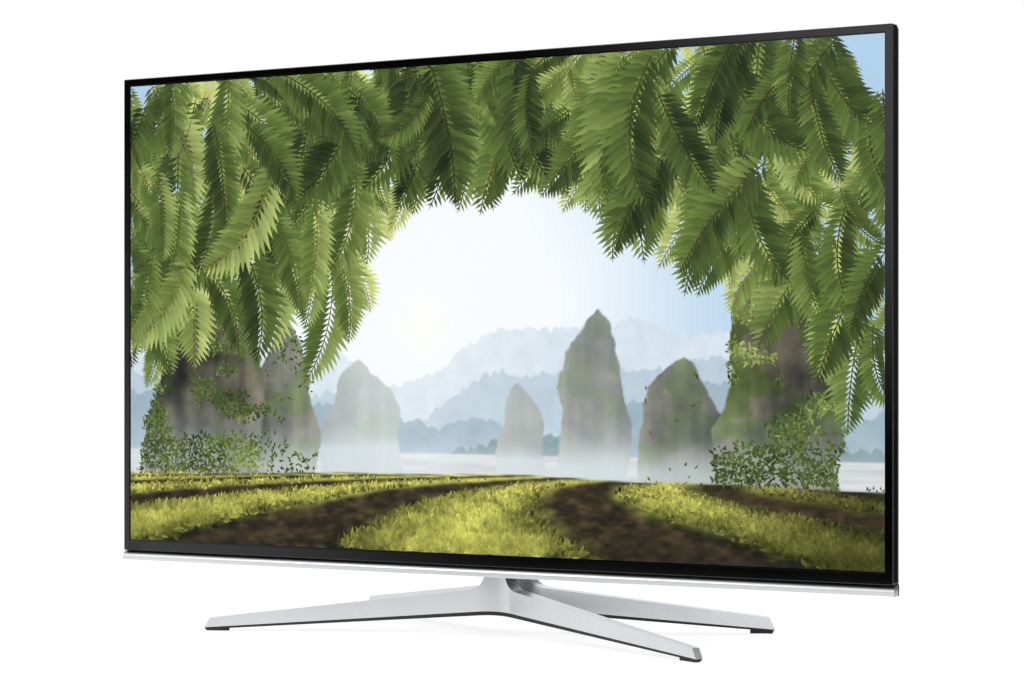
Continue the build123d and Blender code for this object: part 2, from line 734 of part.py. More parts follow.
grille_x = 205.0
grille_depth = 43.0
slot_gap = 1.6
controller_post_x = 19.0
controller_post_radius = 3.0
controller_board_back = 56.0
stand_screw_access = 5.0
stand_screw_z = core_top_z - core_plate_height / 2
stand_screw_places = [
    (side * stand_screw_x, stand_screw_z + up * stand_screw_pitch_z / 2) for side in (-1, 1) for up in (-1, 1)
]
wall_mount_places = [
    (side * wall_mount_pitch / 2, wall_mount_z + up * wall_mount_pitch / 2)
    for side in (-1, 1)
    for up in (-1, 1)
]
with BuildPart() as rear_cover:
    add(cover_outside)
    add(cover_inside, mode=Mode.SUBTRACT)
    add(bay_walls.part)
    add(bay_block(1, 0, bay_bottom_z, bay_top_z), mode=Mode.SUBTRACT)
    add(bay_block(-1, 0, inlet_bay_bottom_z, inlet_bay_top_z), mode=Mode.SUBTRACT)
    # Room for the bottom moulding
    with BuildSketch(Plane.YZ.offset(-body_width / 2 - cut_overrun)):
        Polygon(
            (front_y + bezel_depth - cut_overrun, body_bottom_z - cut_overrun),
            (trim_back_y + fit_gap, body_bottom_z - cut_overrun),
            (trim_back_y + fit_gap, bezel_bottom_z),
            (front_y + bezel_depth - cut_overrun, bezel_bottom_z),
            align=None,
        )
    extrude(amount=body_width + 2 * cut_overrun, mode=Mode.SUBTRACT)
    # Bosses and sunk holes of the cover screws
    with BuildSketch(depth_plane(chassis_back)):
        with Locations(*cover_screw_places):
            Circle(cover_boss_radius)
    extrude(amount=-(side_depth - cover_wall - chassis_back))
    with BuildSketch(depth_plane(chassis_back)):
        with Locations(*cover_screw_places):
            Circle(cover_screw_radius + screw_gap)
    extrude(amount=-bulge_depth, mode=Mode.SUBTRACT)
    with BuildSketch(depth_plane(side_depth - cover_screw_sink)):
        with Locations(*cover_screw_places):
            Circle(cover_screw_head_radius + fit_gap)
    extrude(amount=-bulge_depth, mode=Mode.SUBTRACT)
    # Wall mount columns, controller knob and stand screws come through the rear face
    with BuildSketch(depth_plane(side_depth)):
        with Locations(*wall_mount_places):
            Circle(wall_column_radius + fit_gap)
        with Locations((knob_x, knob_z)):
            Circle(knob_hole_radius)
        with Locations(*stand_screw_places):
            Circle(stand_screw_access)
    extrude(amount=-bulge_depth, mode=Mode.SUBTRACT)
    # Posts that carry the controller board
    with BuildSketch(depth_plane(controller_board_back)):
        with Locations((knob_x - controller_post_x, knob_z), (knob_x + controller_post_x, knob_z)):
            Circle(controller_post_radius)
    extrude(amount=-(bulge_depth - cover_wall - controller_board_back))
    # Vents near the top
    with BuildSketch(depth_plane(side_depth)):
        with Locations((0, vent_top_z), (0, vent_top_z - vent_row_pitch)):
            with GridLocations(vent_pitch, 0, vent_count, 1):
                SlotOverall(vent_length, vent_width, rotation=90)
    extrude(amount=-bulge_depth, mode=Mode.SUBTRACT)
    # Speaker grilles, then the neck's slot, in the floor of the bulge
    with BuildSketch(Plane.XY.offset(bulge_bottom_z - cut_overrun)):
        with Locations((-grille_x, front_y + grille_depth), (grille_x, front_y + grille_depth)):
            with GridLocations(grille_pitch, 0, grille_count, 1):
                SlotOverall(grille_length, grille_width, rotation=90)
    extrude(amount=cut_overrun + cover_wall, mode=Mode.SUBTRACT)
    with BuildSketch(Plane.XY.offset(bulge_bottom_z - cut_overrun)):
        with Locations((0, (neck_front_y + neck_join_y) / 2)):
            Rectangle(2 * (front_neck_half + slot_gap), neck_join_y - neck_front_y + 2 * slot_gap)
    extrude(amount=cut_overrun + bulge_round, mode=Mode.SUBTRACT)
    # Socket holes in the bay walls
    with BuildSketch(Plane.YZ.offset(bay_wall_x - cover_wall - cut_overrun)):
        for places, width, height in (
            (card_z, card_width, card_height),
            (usb_z, usb_width, usb_height),
            (hdmi_z, hdmi_width, hdmi_height),
            (lan_z, lan_width, lan_height),
        ):
            with Locations(*[(board_face_y + height / 2, z) for z in places]):
                Rectangle(height + 2 * socket_clearance, width + 2 * socket_clearance)
        with Locations(*jack_centres):
            Circle(jack_collar_radius + socket_clearance)
        with Locations(*antenna_centres):
            Circle(antenna_barrel_radius + socket_clearance)
    extrude(amount=2 * cut_overrun, mode=Mode.SUBTRACT)
    with BuildSketch(Plane.YZ.offset(-bay_wall_x - cut_overrun)):
        with Locations((inlet_y, inlet_z)):
            Rectangle(inlet_height + 2 * socket_clearance, inlet_width + 2 * socket_clearance)
    extrude(amount=2 * cut_overrun, mode=Mode.SUBTRACT)
write_piece(rear_cover, "rear_cover")

with BuildPart() as rear_cover_screws:
    with BuildSketch(depth_plane(chassis_start)):
        with Locations(*cover_screw_places):
            Circle(cover_screw_radius)
    extrude(amount=-(side_depth - cover_screw_sink - chassis_start))
    with BuildSketch(depth_plane(side_depth - cover_screw_sink)):
        with Locations(*cover_screw_places):
            Circle(cover_screw_head_radius)
    extrude(amount=-cover_screw_head)
write_piece(rear_cover_screws, "rear_cover_screws")

with BuildPart() as wall_mount_columns:
    with BuildSketch(depth_plane(chassis_back)):
        with Locations(*wall_mount_places):
            Circle(wall_column_radius)
    extrude(amount=-(bulge_depth - chassis_back))
    with BuildSketch(depth_plane(bulge_depth)):
        with Locations(*wall_mount_places):
            Circle(wall_bolt_radius)
    extrude(amount=wall_bolt_depth, mode=Mode.SUBTRACT)
write_piece(wall_mount_columns, "wall_mount_columns")

# Stand legs. Both arches are drawn the same way: a plan outline and a front outline cross each other
hub_seat_z = 29.4
arch_top_z = bulge_bottom_z + neck_inside
Arch = namedtuple(
    "Arch",
    "side neck_half bend_x flare neck_top outer_y inner_y reach hub_top hub_bottom tip_top tip_bottom",
)
front_shape = Arch(
    -1,
    front_neck_half,
    front_neck_half,
    front_flare,
    arch_top_z,
    neck_front_y,
    neck_join_y,
    front_reach,
    front_hub_top,
    front_hub_bottom,
    front_tip_top,
    front_tip_bottom,
)
rear_shape = Arch(
    1,
    rear_neck_half,
    rear_bend_x,
    rear_flare,
    rear_hub_top + rear_flare,
    rear_arch_back_y,
    rear_arch_front_y,
    rear_reach,
    rear_hub_top,
    rear_hub_bottom,
    rear_tip_top,
    rear_tip_bottom,
)


def leg_slope(arch):
    """Steps in X and Y along the outer face of a right leg, from its bend to its tip."""
    return arch.reach - arch.bend_x, arch.side * stand_depth / 2 - arch.outer_y


def leg_across(arch):
    """Steps in X and Y from a leg's outer tip corner to its inner one, square to the leg."""
    run_x, run_y = leg_slope(arch)
    run = hypot(run_x, run_y)
    return abs(run_y) / run * leg_tip_thickness, -arch.side * run_x / run * leg_tip_thickness


def leg_tip_x(arch):
    return arch.reach + leg_across(arch)[0]


def leg_plan(arch):
    """Plan corners of an arch and their radii."""
    across_x, across_y = leg_across(arch)
    tip_y = arch.side * stand_depth / 2
    right = [
        (arch.bend_x, arch.outer_y),
        (arch.reach, tip_y),
        (arch.reach + across_x, tip_y + across_y),
        (arch.bend_x, arch.inner_y),
    ]
    left = [(-x, y) for x, y in reversed(right)]
    half = [leg_bend_radius, leg_corner, leg_corner, leg_back_bend]
    return right + left, half + half[::-1]


def leg_top(arch, x):
    return arch.hub_top + (arch.tip_top - arch.hub_top) * x / leg_tip_x(arch)


def leg_bottom(arch, x):
    return arch.hub_bottom + (arch.tip_bottom - arch.hub_bottom) * x / leg_tip_x(arch)


def underside_bottom(arch, x):
    hub_z = arch.hub_bottom - underside_hub
    return hub_z + (arch.tip_bottom - underside_tip - hub_z) * x / leg_tip_x(arch)


def mirrored(points):
    """Points of the right half, then the same going back on the left."""
    return points + [(-x, z) for x, z in reversed(points)]


def leg_arch(arch):
    """One silver arch: two legs and the neck in a single casting, hollow under the legs."""
    tip_x = leg_tip_x(arch)
    plan_points, plan_radii = leg_plan(arch)
    front_half = [
        (tip_x, leg_bottom(arch, tip_x)),
        (tip_x, leg_top(arch, tip_x)),
        (arch.neck_half, leg_top(arch, arch.neck_half)),
        (arch.neck_half, arch.neck_top),
    ]
    front_points = [(0, arch.hub_bottom)] + mirrored(front_half)
    front_radii = [leg_hub_radius, 0, 0, arch.flare, 0, 0, arch.flare, 0, 0]
    cavity_end = tip_x - leg_tip_thickness
    cavity = [
        (leg_solid_half, 0),
        (cavity_end, 0),
        (cavity_end, leg_top(arch, cavity_end) - leg_wall),
        (leg_solid_half, leg_top(arch, leg_solid_half) - leg_wall),
    ]
    with BuildPart() as hollow:
        with BuildSketch():
            with BuildLine():
                FilletPolyline(*plan_points, radius=plan_radii, close=True)
            make_face()
            offset(amount=-leg_wall)
        extrude(amount=arch.neck_top)
        with BuildSketch(Plane.XZ):
            Polygon(*cavity, align=None)
            mirror(about=Plane.YZ)
        extrude(amount=stand_depth, both=True, mode=Mode.INTERSECT)
    run_x, run_y = leg_slope(arch)
    run = hypot(run_x, run_y)
    tip_height = arch.tip_top - arch.tip_bottom
    with BuildPart() as casting:
        with BuildSketch():
            with BuildLine():
                FilletPolyline(*plan_points, radius=plan_radii, close=True)
            make_face()
        extrude(amount=arch.neck_top)
        with BuildSketch(Plane.XZ):
            with BuildLine():
                FilletPolyline(*front_points, radius=front_radii, close=True)
            make_face()
        extrude(amount=stand_depth, both=True, mode=Mode.INTERSECT)
        # The tips lean back: their lower edge reaches furthest out
        for hand in (-1, 1):
            outward = (hand * run_x / run * tip_height, run_y / run * tip_height, leg_tip_slant)
            tip_corner = (hand * arch.reach, arch.side * stand_depth / 2, arch.tip_bottom)
            split(bisect_by=Plane(origin=tip_corner, z_dir=outward), keep=Keep.BOTTOM)
        add(hollow.part, mode=Mode.SUBTRACT)
    return casting.part


def leg_underside(arch):
    """Black cover that closes an arch from below."""
    tip_x = leg_tip_x(arch)
    plan_points, plan_radii = leg_plan(arch)
    band = [(tip_x, underside_bottom(arch, tip_x)), (tip_x, leg_bottom(arch, tip_x))]
    band_points = [
        (0, arch.hub_bottom - underside_hub),
        *band,
        (0, arch.hub_bottom),
        *[(-x, z) for x, z in reversed(band)],
    ]
    band_radii = [leg_hub_radius, 0, 0, leg_hub_radius, 0, 0]
    with BuildPart() as underside:
        with BuildSketch():
            with BuildLine():
                FilletPolyline(*plan_points, radius=plan_radii, close=True)
            make_face()
            offset(amount=-underside_inset)
        extrude(amount=arch.hub_top)
        with BuildSketch(Plane.XZ):
            with BuildLine():
                FilletPolyline(*band_points, radius=band_radii, close=True)
            make_face()
        extrude(amount=stand_depth, both=True, mode=Mode.INTERSECT)
    return underside.part


def foot_pads(arch):
    """Two rubber wedges under the tips of an arch, flat on the floor."""
    across_x, across_y = leg_across(arch)
    run_x, run_y = leg_slope(arch)
    run = hypot(run_x, run_y)
    along = pad_from_tip + pad_length / 2
    centre_x = arch.reach + across_x / 2 - along * run_x / run
    centre_y = arch.side * stand_depth / 2 + across_y / 2 - along * run_y / run
    tip_x = leg_tip_x(arch)
    wedge = [(tip_x, 0), (tip_x, underside_bottom(arch, tip_x)), (0, underside_bottom(arch, 0))]
    with BuildPart() as pads:
        with BuildSketch(Plane(origin=(centre_x, centre_y, 0), x_dir=(run_x, run_y, 0), z_dir=(0, 0, 1))):
            RectangleRounded(pad_length, pad_width, leg_corner)
        extrude(amount=arch.tip_top)
        mirror(about=Plane.YZ)
        with BuildSketch(Plane.XZ):
            Polygon((0, 0), *wedge, align=None)
            mirror(about=Plane.YZ)
        extrude(amount=stand_depth, both=True, mode=Mode.INTERSECT)
    return pads.part


hub_screw_x = 7.0
hub_screw_y = (core_front_y + core_rear_y) / 2
hub_screw_length = 12.0
hub_access_radius = 4.6
hub_screw_places = [(-hub_screw_x, hub_screw_y), (hub_screw_x, hub_screw_y)]
arch_screw_low_z = 48.0
arch_screw_high_z = 64.0
arch_screw_sink = 14.0
arch_screw_end_y = core_rear_y + core_gap + fit_gap
arch_screw_places = [(0, arch_screw_low_z), (0, arch_screw_high_z)]
arch_seat_y = rear_arch_back_y - arch_screw_sink

with BuildPart() as front_leg_arch:
    add(leg_arch(front_shape))
    # Socket for the neck core, and holes for the screws from below and from behind
    with BuildSketch(Plane.XY.offset(core_bottom_z)):
        with Locations((0, hub_screw_y)):
            Rectangle(2 * (core_half + core_gap), core_rear_y - core_front_y + 2 * core_gap)
    extrude(amount=arch_top_z, mode=Mode.SUBTRACT)
    with BuildSketch():
        with Locations(*hub_screw_places):
            Circle(hub_access_radius)
    extrude(amount=hub_seat_z, mode=Mode.SUBTRACT)
    with BuildSketch():
        with Locations(*hub_screw_places):
            Circle(stand_screw_radius + screw_gap)
    extrude(amount=core_bottom_z, mode=Mode.SUBTRACT)
    with BuildSketch(Plane.XZ.offset(-core_rear_y)):
        with Locations(*arch_screw_places):
            Circle(stand_screw_radius + screw_gap)
    extrude(amount=-(neck_join_y - core_rear_y), mode=Mode.SUBTRACT)
write_piece(front_leg_arch, "front_leg_arch")

with BuildPart() as rear_leg_arch:
    add(leg_arch(rear_shape))
    # A web in the middle reaches forwards to the front arch
    with BuildSketch(Plane.XY.offset(rear_web_bottom)):
        with Locations((0, (neck_join_y + rear_arch_back_y) / 2)):
            Rectangle(2 * rear_web_half, rear_arch_back_y - neck_join_y)
    extrude(amount=rear_neck_top - rear_web_bottom)
    with BuildSketch(Plane.XY.offset(rear_neck_top)):
        with Locations((0, rear_arch_back_y)):
            Rectangle(stand_depth, stand_depth)
    extrude(amount=rear_flare, mode=Mode.SUBTRACT)
    with BuildSketch(Plane.XZ.offset(-neck_join_y)):
        with Locations(*arch_screw_places):
            Circle(stand_screw_radius + screw_gap)
    extrude(amount=-(rear_arch_back_y - neck_join_y), mode=Mode.SUBTRACT)
    with BuildSketch(Plane.XZ.offset(-arch_seat_y)):
        with Locations(*arch_screw_places):
            Circle(stand_screw_head_radius + fit_gap)
    extrude(amount=-arch_screw_sink, mode=Mode.SUBTRACT)
write_piece(rear_leg_arch, "rear_leg_arch")

with BuildPart() as front_leg_underside:
    add(leg_underside(front_shape))
    with BuildSketch():
        with Locations(*hub_screw_places):
            Circle(hub_access_radius)
    extrude(amount=front_hub_bottom, mode=Mode.SUBTRACT)
write_piece(front_leg_underside, "front_leg_underside")

with BuildPart() as rear_leg_underside:
    add(leg_underside(rear_shape))
write_piece(rear_leg_underside, "rear_leg_underside")

with BuildPart() as rubber_pads:
    add(foot_pads(front_shape))
    add(foot_pads(rear_shape))
write_piece(rubber_pads, "rubber_pads")

# Neck core: a steel tongue in the neck with a cross plate that bolts to the bracket on the tray
core_plate_front_y = core_front_y - core_plate_thickness
bracket_face_depth = core_plate_front_y - front_y
with BuildPart() as neck_core:
    with BuildSketch(Plane.XY.offset(core_bottom_z)):
        with Locations((0, hub_screw_y)):
            Rectangle(2 * core_half, core_rear_y - core_front_y)
    extrude(amount=core_top_z - core_bottom_z)
    with BuildSketch(depth_plane(bracket_face_depth)):
        with Locations((0, stand_screw_z)):
            Rectangle(core_plate_width, core_plate_height)
    extrude(amount=-core_plate_thickness)
    with BuildSketch(depth_plane(bracket_face_depth)):
        with Locations(*stand_screw_places):
            Circle(stand_screw_radius + screw_gap)
    extrude(amount=-core_plate_thickness, mode=Mode.SUBTRACT)
    with BuildSketch(Plane.XY.offset(core_bottom_z)):
        with Locations(*hub_screw_places):
            Circle(stand_screw_radius + screw_gap)
    extrude(amount=hub_screw_length, mode=Mode.SUBTRACT)
write_piece(neck_core, "neck_core")

with BuildPart() as stand_bracket:
    with BuildSketch(Plane.XY.offset(bracket_bottom_z)):
        with Locations((0, front_y + chassis_back + bracket_wall / 2)):
            Rectangle(bracket_width + 2 * bracket_flange, bracket_wall)
        with Locations((0, core_plate_front_y - bracket_wall / 2)):
            Rectangle(bracket_width, bracket_wall)
        web_length = bracket_face_depth - chassis_back
        web_x = (bracket_width - bracket_wall) / 2
        with Locations((-web_x, front_y + chassis_back + web_length / 2)):
            Rectangle(bracket_wall, web_length)
        with Locations((web_x, front_y + chassis_back + web_length / 2)):
            Rectangle(bracket_wall, web_length)
    extrude(amount=core_top_z - bracket_bottom_z)
    with BuildSketch(depth_plane(bracket_face_depth - bracket_wall)):
        with Locations(*stand_screw_places):
            Circle(stand_screw_radius + screw_gap)
    extrude(amount=-bracket_wall, mode=Mode.SUBTRACT)
write_piece(stand_bracket, "stand_bracket")

bracket_screw_length = 10.0
with BuildPart() as stand_screws:
    head_start = bracket_face_depth + core_plate_thickness
    with BuildSketch(depth_plane(head_start - bracket_screw_length)):
        with Locations(*stand_screw_places):
            Circle(stand_screw_radius)
    extrude(amount=-bracket_screw_length)
    with BuildSketch(depth_plane(head_start)):
        with Locations(*stand_screw_places):
            Circle(stand_screw_head_radius)
    extrude(amount=-stand_screw_head)
    with BuildSketch(Plane.XY.offset(hub_seat_z)):
        with Locations(*hub_screw_places):
            Circle(stand_screw_radius)
    extrude(amount=hub_screw_length)
    with BuildSketch(Plane.XY.offset(hub_seat_z)):
        with Locations(*hub_screw_places):
            Circle(stand_screw_head_radius)
    extrude(amount=-stand_screw_head)
    with BuildSketch(Plane.XZ.offset(-arch_seat_y)):
        with Locations(*arch_screw_places):
            Circle(stand_screw_radius)
    extrude(amount=arch_seat_y - arch_screw_end_y)
    with BuildSketch(Plane.XZ.offset(-arch_seat_y)):
        with Locations(*arch_screw_places):
            Circle(stand_screw_head_radius)
    extrude(amount=-stand_screw_head)
write_piece(stand_screws, "stand_screws")

# Circuit boards. Parts on a board are placed as shares of it: centre x and z from the board's centre,
# width, height and thickness, the thickness as a share of the tallest part
part_tallest = 12.0
main_block_shares = [
    (0.070, 0.170, 0.056, 0.033, 0.10),
    (0.070, 0.115, 0.056, 0.033, 0.10),
    (0.070, 0.005, 0.056, 0.033, 0.10),
    (0.070, -0.050, 0.056, 0.033, 0.10),
    (0.250, 0.060, 0.040, 0.060, 0.12),
    (0.260, 0.280, 0.050, 0.046, 0.12),
    (-0.280, 0.060, 0.046, 0.042, 0.40),
    (-0.280, 0.130, 0.046, 0.042, 0.40),
    (-0.220, -0.130, 0.046, 0.042, 0.40),
    (0.060, -0.230, 0.080, 0.060, 0.12),
    (0.260, -0.090, 0.050, 0.070, 0.12),
]
power_block_shares = [
    (-0.330, -0.130, 0.110, 0.120, 1.60),
    (-0.330, 0.060, 0.100, 0.130, 1.50),
    (0.330, -0.260, 0.070, 0.080, 0.90),
    (0.330, 0.000, 0.050, 0.060, 0.60),
    (0.200, -0.360, 0.060, 0.060, 1.20),
    (0.130, 0.380, 0.120, 0.050, 0.50),
    (-0.160, -0.380, 0.120, 0.070, 0.80),
]
timing_block_shares = [(0.000, 0.000, 0.070, 0.360, 0.10), (0.150, -0.060, 0.040, 0.220, 0.10)]


def loaded_board(x, z, width, height, start, shares, plugs, screw_places):
    """A board with its small parts, its plugs (x, z, width, height, thickness) and its screw holes."""
    face = start + board_thickness
    with BuildPart() as board:
        with BuildSketch(depth_plane(start)):
            with Locations((x, z)):
                Rectangle(width, height)
        extrude(amount=-board_thickness)
        for x_share, z_share, width_share, height_share, thickness_share in shares:
            with BuildSketch(depth_plane(face)):
                with Locations((x + x_share * width, z + z_share * height)):
                    Rectangle(width_share * width, height_share * height)
            extrude(amount=-thickness_share * part_tallest)
        for plug_x, plug_z, plug_width, plug_height, thickness in plugs:
            with BuildSketch(depth_plane(face)):
                with Locations((plug_x, plug_z)):
                    Rectangle(plug_width, plug_height)
            extrude(amount=-thickness)
        with BuildSketch(depth_plane(start)):
            with Locations(*screw_places):
                Circle(board_screw_radius + screw_gap)
        extrude(amount=-board_thickness, mode=Mode.SUBTRACT)
    return board


# Sizes of the connectors and where they sit
plug_thickness = 5.0
video_ribbon_x = 143.5
video_ribbon_width = 18.0
ribbon_thickness = 0.3
timing_plug_from_edge = 14.0
video_plug_from_edge = 22.0
timing_plug_z = tcon_z - tcon_height / 2 + timing_plug_from_edge
video_plug_z = main_board_z + main_board_height / 2 - video_plug_from_edge
strip_plug_width = 8.0
strip_plug_height = 26.0
strip_z = 330.0
strip_power_from_edge = 12.0
strip_main_from_edge = 12.5
strip_power_x = power_board_x + power_board_width / 2 - strip_power_from_edge
strip_main_x = main_board_x - main_board_width / 2 + strip_main_from_edge
mains_plug_from_edge = 10.0
mains_plug_x = power_board_x - power_board_width / 2 + mains_plug_from_edge
mains_plug_width = 14.0
mains_plug_height = 24.0
mains_plug_thickness = 8.0
low_face = low_board_start + board_thickness
light_plug_long = 14.0
light_plug_wide = 8.0
small_plug_margin = 1.0
small_plug_from_edge = light_plug_wide / 2 + small_plug_margin
left_light_x = power_board_x - power_board_width / 2 + small_plug_from_edge
left_light_z = 360.0
right_light_x = -100.0
right_light_z = power_board_z + power_board_height / 2 - small_plug_from_edge
edge_plug_x = main_board_x - main_board_width / 2 + small_plug_from_edge
left_speaker_z = 190.0
left_speaker_plug = 8.0
signal_z = 201.5
signal_plug_height = 10.0
right_speaker_x = 260.0
right_speaker_z = main_board_z - main_board_height / 2 + small_plug_from_edge

main_plugs = [
    (video_ribbon_x, video_plug_z, video_ribbon_width, ribbon_plug_height, ribbon_plug_thickness),
    (strip_main_x, strip_z, strip_plug_width, strip_plug_height, plug_thickness),
    (edge_plug_x, left_speaker_z, light_plug_wide, left_speaker_plug, plug_thickness),
    (edge_plug_x, signal_z, light_plug_wide, signal_plug_height, plug_thickness),
    (right_speaker_x, right_speaker_z, light_plug_long, light_plug_wide, plug_thickness),
]
main_board = loaded_board(
    main_board_x,
    main_board_z,
    main_board_width,
    main_board_height,
    high_board_start,
    main_block_shares,
    main_plugs,
    main_corners,
)
write_piece(main_board, "main_board")

power_plugs = [
    (mains_plug_x, inlet_z, mains_plug_width, mains_plug_height, mains_plug_thickness),
    (strip_power_x, strip_z, strip_plug_width, strip_plug_height, plug_thickness),
    (left_light_x, left_light_z, light_plug_wide, light_plug_long, plug_thickness),
    (right_light_x, right_light_z, light_plug_long, light_plug_wide, plug_thickness),
]
power_board = loaded_board(
    power_board_x,
    power_board_z,
    power_board_width,
    power_board_height,
    low_board_start,
    power_block_shares,
    power_plugs,
    power_corners,
)
write_piece(power_board, "power_board")

timing_plugs = [
    (x, timing_plug_z, width, ribbon_plug_height, ribbon_plug_thickness)
    for x, width in (
        (-source_ribbon_x, source_ribbon_width),
        (source_ribbon_x, source_ribbon_width),
        (video_ribbon_x, video_ribbon_width),
    )
]
timing_board = loaded_board(
    tcon_x,
    tcon_z,
    tcon_width,
    tcon_height,
    low_board_start,
    timing_block_shares,
    timing_plugs,
    tcon_corners,
)
write_piece(timing_board, "timing_board")

with BuildPart() as board_screws:
    for places, face in ((low_corners, low_face), (main_corners, board_face)):
        with BuildSketch(depth_plane(face - low_standoff)):
            with Locations(*places):
                Circle(board_screw_radius)
        extrude(amount=-low_standoff)
        with BuildSketch(depth_plane(face)):
            with Locations(*places):
                Circle(board_screw_head_radius)
        extrude(amount=-board_screw_head)
write_piece(board_screws, "board_screws")

# Heat sink on the processor
sink_x = 220.0
sink_z = 320.0
processor_size = 34.0
processor_thickness = 1.5
sink_size = 52.0
sink_base = 3.0
sink_fin_height = 12.0
sink_fin = 1.6
sink_fin_count = 9
with BuildPart() as processor_heat_sink:
    with BuildSketch(depth_plane(board_face)):
        with Locations((sink_x, sink_z)):
            Rectangle(processor_size, processor_size)
    extrude(amount=-processor_thickness)
    with BuildSketch(depth_plane(board_face + processor_thickness)):
        with Locations((sink_x, sink_z)):
            Rectangle(sink_size, sink_size)
    extrude(amount=-sink_base)
    with BuildSketch(depth_plane(board_face + processor_thickness + sink_base)):
        with Locations((sink_x, sink_z)):
            with GridLocations((sink_size - sink_fin) / (sink_fin_count - 1), 0, sink_fin_count, 1):
                Rectangle(sink_fin, sink_size)
    extrude(amount=-sink_fin_height)
write_piece(processor_heat_sink, "processor_heat_sink")

tuner_x = 318.0
tuner_z = 184.0
tuner_width = 42.0
tuner_height = 24.0
tuner_thickness = 11.0
tuner_can = 0.8
with BuildPart() as tuner_module:
    with BuildSketch(depth_plane(board_face)):
        with Locations((tuner_x, tuner_z)):
            Rectangle(tuner_width, tuner_height)
    extrude(amount=-tuner_thickness)
    with BuildSketch(depth_plane(board_face + tuner_thickness - tuner_can)):
        with Locations((tuner_x, tuner_z)):
            Rectangle(tuner_width - 4 * tuner_can, tuner_height - 4 * tuner_can)
    extrude(amount=-tuner_can, mode=Mode.SUBTRACT)
write_piece(tuner_module, "tuner_module")

# Large parts of the power board: centre x and z as shares of the board
transformer_width = 36.0
transformer_height = 30.0
transformer_core = 28.0
transformer_winding = 24.0
winding_overhang = 5.0
transformer_shares = [(0.060, -0.200), (0.060, 0.180)]
capacitor_radius = 8.0
capacitor_length = 30.0
capacitor_bead = 0.8
capacitor_shares = [(-0.150, -0.180), (-0.150, -0.080), (-0.150, 0.020)]
power_sink_thickness = 3.0
power_sink_fin = 9.0
power_sink_tall = 26.0
power_sink_length = 64.0
power_sink_fins = 6
power_sink_shares = [(0.210, 0.000), (-0.200, 0.280)]


def power_places(shares):
    return [
        (power_board_x + x_share * power_board_width, power_board_z + z_share * power_board_height)
        for x_share, z_share in shares
    ]


with BuildPart() as power_transformers:
    with BuildSketch(depth_plane(low_face)):
        with Locations(*power_places(transformer_shares)):
            Rectangle(transformer_width, transformer_height)
    extrude(amount=-transformer_core)
    with BuildSketch(depth_plane(low_face)):
        with Locations(*power_places(transformer_shares)):
            Rectangle(transformer_winding, transformer_height + 2 * winding_overhang)
    extrude(amount=-transformer_winding)
write_piece(power_transformers, "power_transformers")

with BuildPart() as power_capacitors:
    with BuildSketch(depth_plane(low_face)):
        with Locations(*power_places(capacitor_shares)):
            Circle(capacitor_radius)
    extrude(amount=-capacitor_length)
    fillet(power_capacitors.faces().group_by(Axis.Y)[-1].edges(), capacitor_bead)
write_piece(power_capacitors, "power_capacitors")

with BuildPart() as power_heat_sinks:
    with BuildSketch(depth_plane(low_face)):
        with Locations(*power_places(power_sink_shares)):
            Rectangle(power_sink_thickness, power_sink_length)
    extrude(amount=-power_sink_tall)
    with BuildSketch(depth_plane(low_face + power_sink_tall)):
        with Locations(*power_places(power_sink_shares)):
            Rectangle(power_sink_fin, power_sink_length)
    extrude(amount=power_sink_thickness)
    with BuildSketch(depth_plane(low_face + power_sink_thickness)):
        with Locations(*power_places(power_sink_shares)):
            with GridLocations(0, power_sink_length / power_sink_fins, 1, power_sink_fins):
                Rectangle(power_sink_fin, power_sink_thickness / 2)
    extrude(amount=-(power_sink_tall - 2 * power_sink_thickness))
write_piece(power_heat_sinks, "power_heat_sinks")

# Flat ribbons: two run down the tray to the source boards, one goes from board to board
step_run = 3.0
ribbon_low_z = ribbon_plug_z + ribbon_plug_height / 2
source_board_top = source_board_z + source_board_height / 2
timing_bottom = tcon_z - tcon_height / 2
timing_ribbon_z = timing_plug_z - ribbon_plug_height / 2
video_low_z = video_plug_z + ribbon_plug_height / 2
main_board_top = main_board_z + main_board_height / 2


def ribbon_outline(front_line):
    """Closed outline of a ribbon: its front line and the same line one thickness behind."""
    back_line = [(y + ribbon_thickness, z) for y, z in reversed(front_line)]
    return front_line + back_line


ribbon_climb = low_face - chassis_back
source_ribbon_line = [
    (front_y + source_board_back, ribbon_low_z),
    (front_y + source_board_back, source_board_top + fit_gap),
    (front_y + chassis_back, source_board_top + fit_gap + step_run),
    (front_y + chassis_back, timing_bottom - ribbon_climb - fit_gap),
    (front_y + low_face, timing_bottom - fit_gap),
    (front_y + low_face, timing_ribbon_z),
]
video_ribbon_line = [
    (front_y + board_face, video_low_z),
    (front_y + board_face, main_board_top + fit_gap),
    (front_y + low_face, timing_bottom - fit_gap),
    (front_y + low_face, timing_ribbon_z),
]
with BuildPart() as ribbon_cables:
    for ribbon_x, ribbon_width, line in (
        (-source_ribbon_x, source_ribbon_width, source_ribbon_line),
        (source_ribbon_x, source_ribbon_width, source_ribbon_line),
        (video_ribbon_x, video_ribbon_width, video_ribbon_line),
    ):
        with BuildSketch(Plane.YZ.offset(ribbon_x - ribbon_width / 2)):
            Polygon(*ribbon_outline(line), align=None)
        extrude(amount=ribbon_width)
write_piece(ribbon_cables, "ribbon_cables")

# Flat bundle of supply wires between the two big boards
strip_thickness = 1.4
strip_width = 18.0
strip_depth_run = 36.0
strip_bend = 3.0
with BuildPart() as board_power_cable:
    with BuildSketch(Plane.XY.offset(strip_z - strip_width / 2)):
        with BuildLine():
            FilletPolyline(
                (strip_power_x, front_y + low_face + plug_thickness),
                (strip_power_x, front_y + strip_depth_run),
                (strip_main_x, front_y + strip_depth_run),
                (strip_main_x, front_y + board_face + plug_thickness),
                radius=strip_bend,
            )
        trace(line_width=strip_thickness)
    extrude(amount=strip_width)
write_piece(board_power_cable, "board_power_cable")


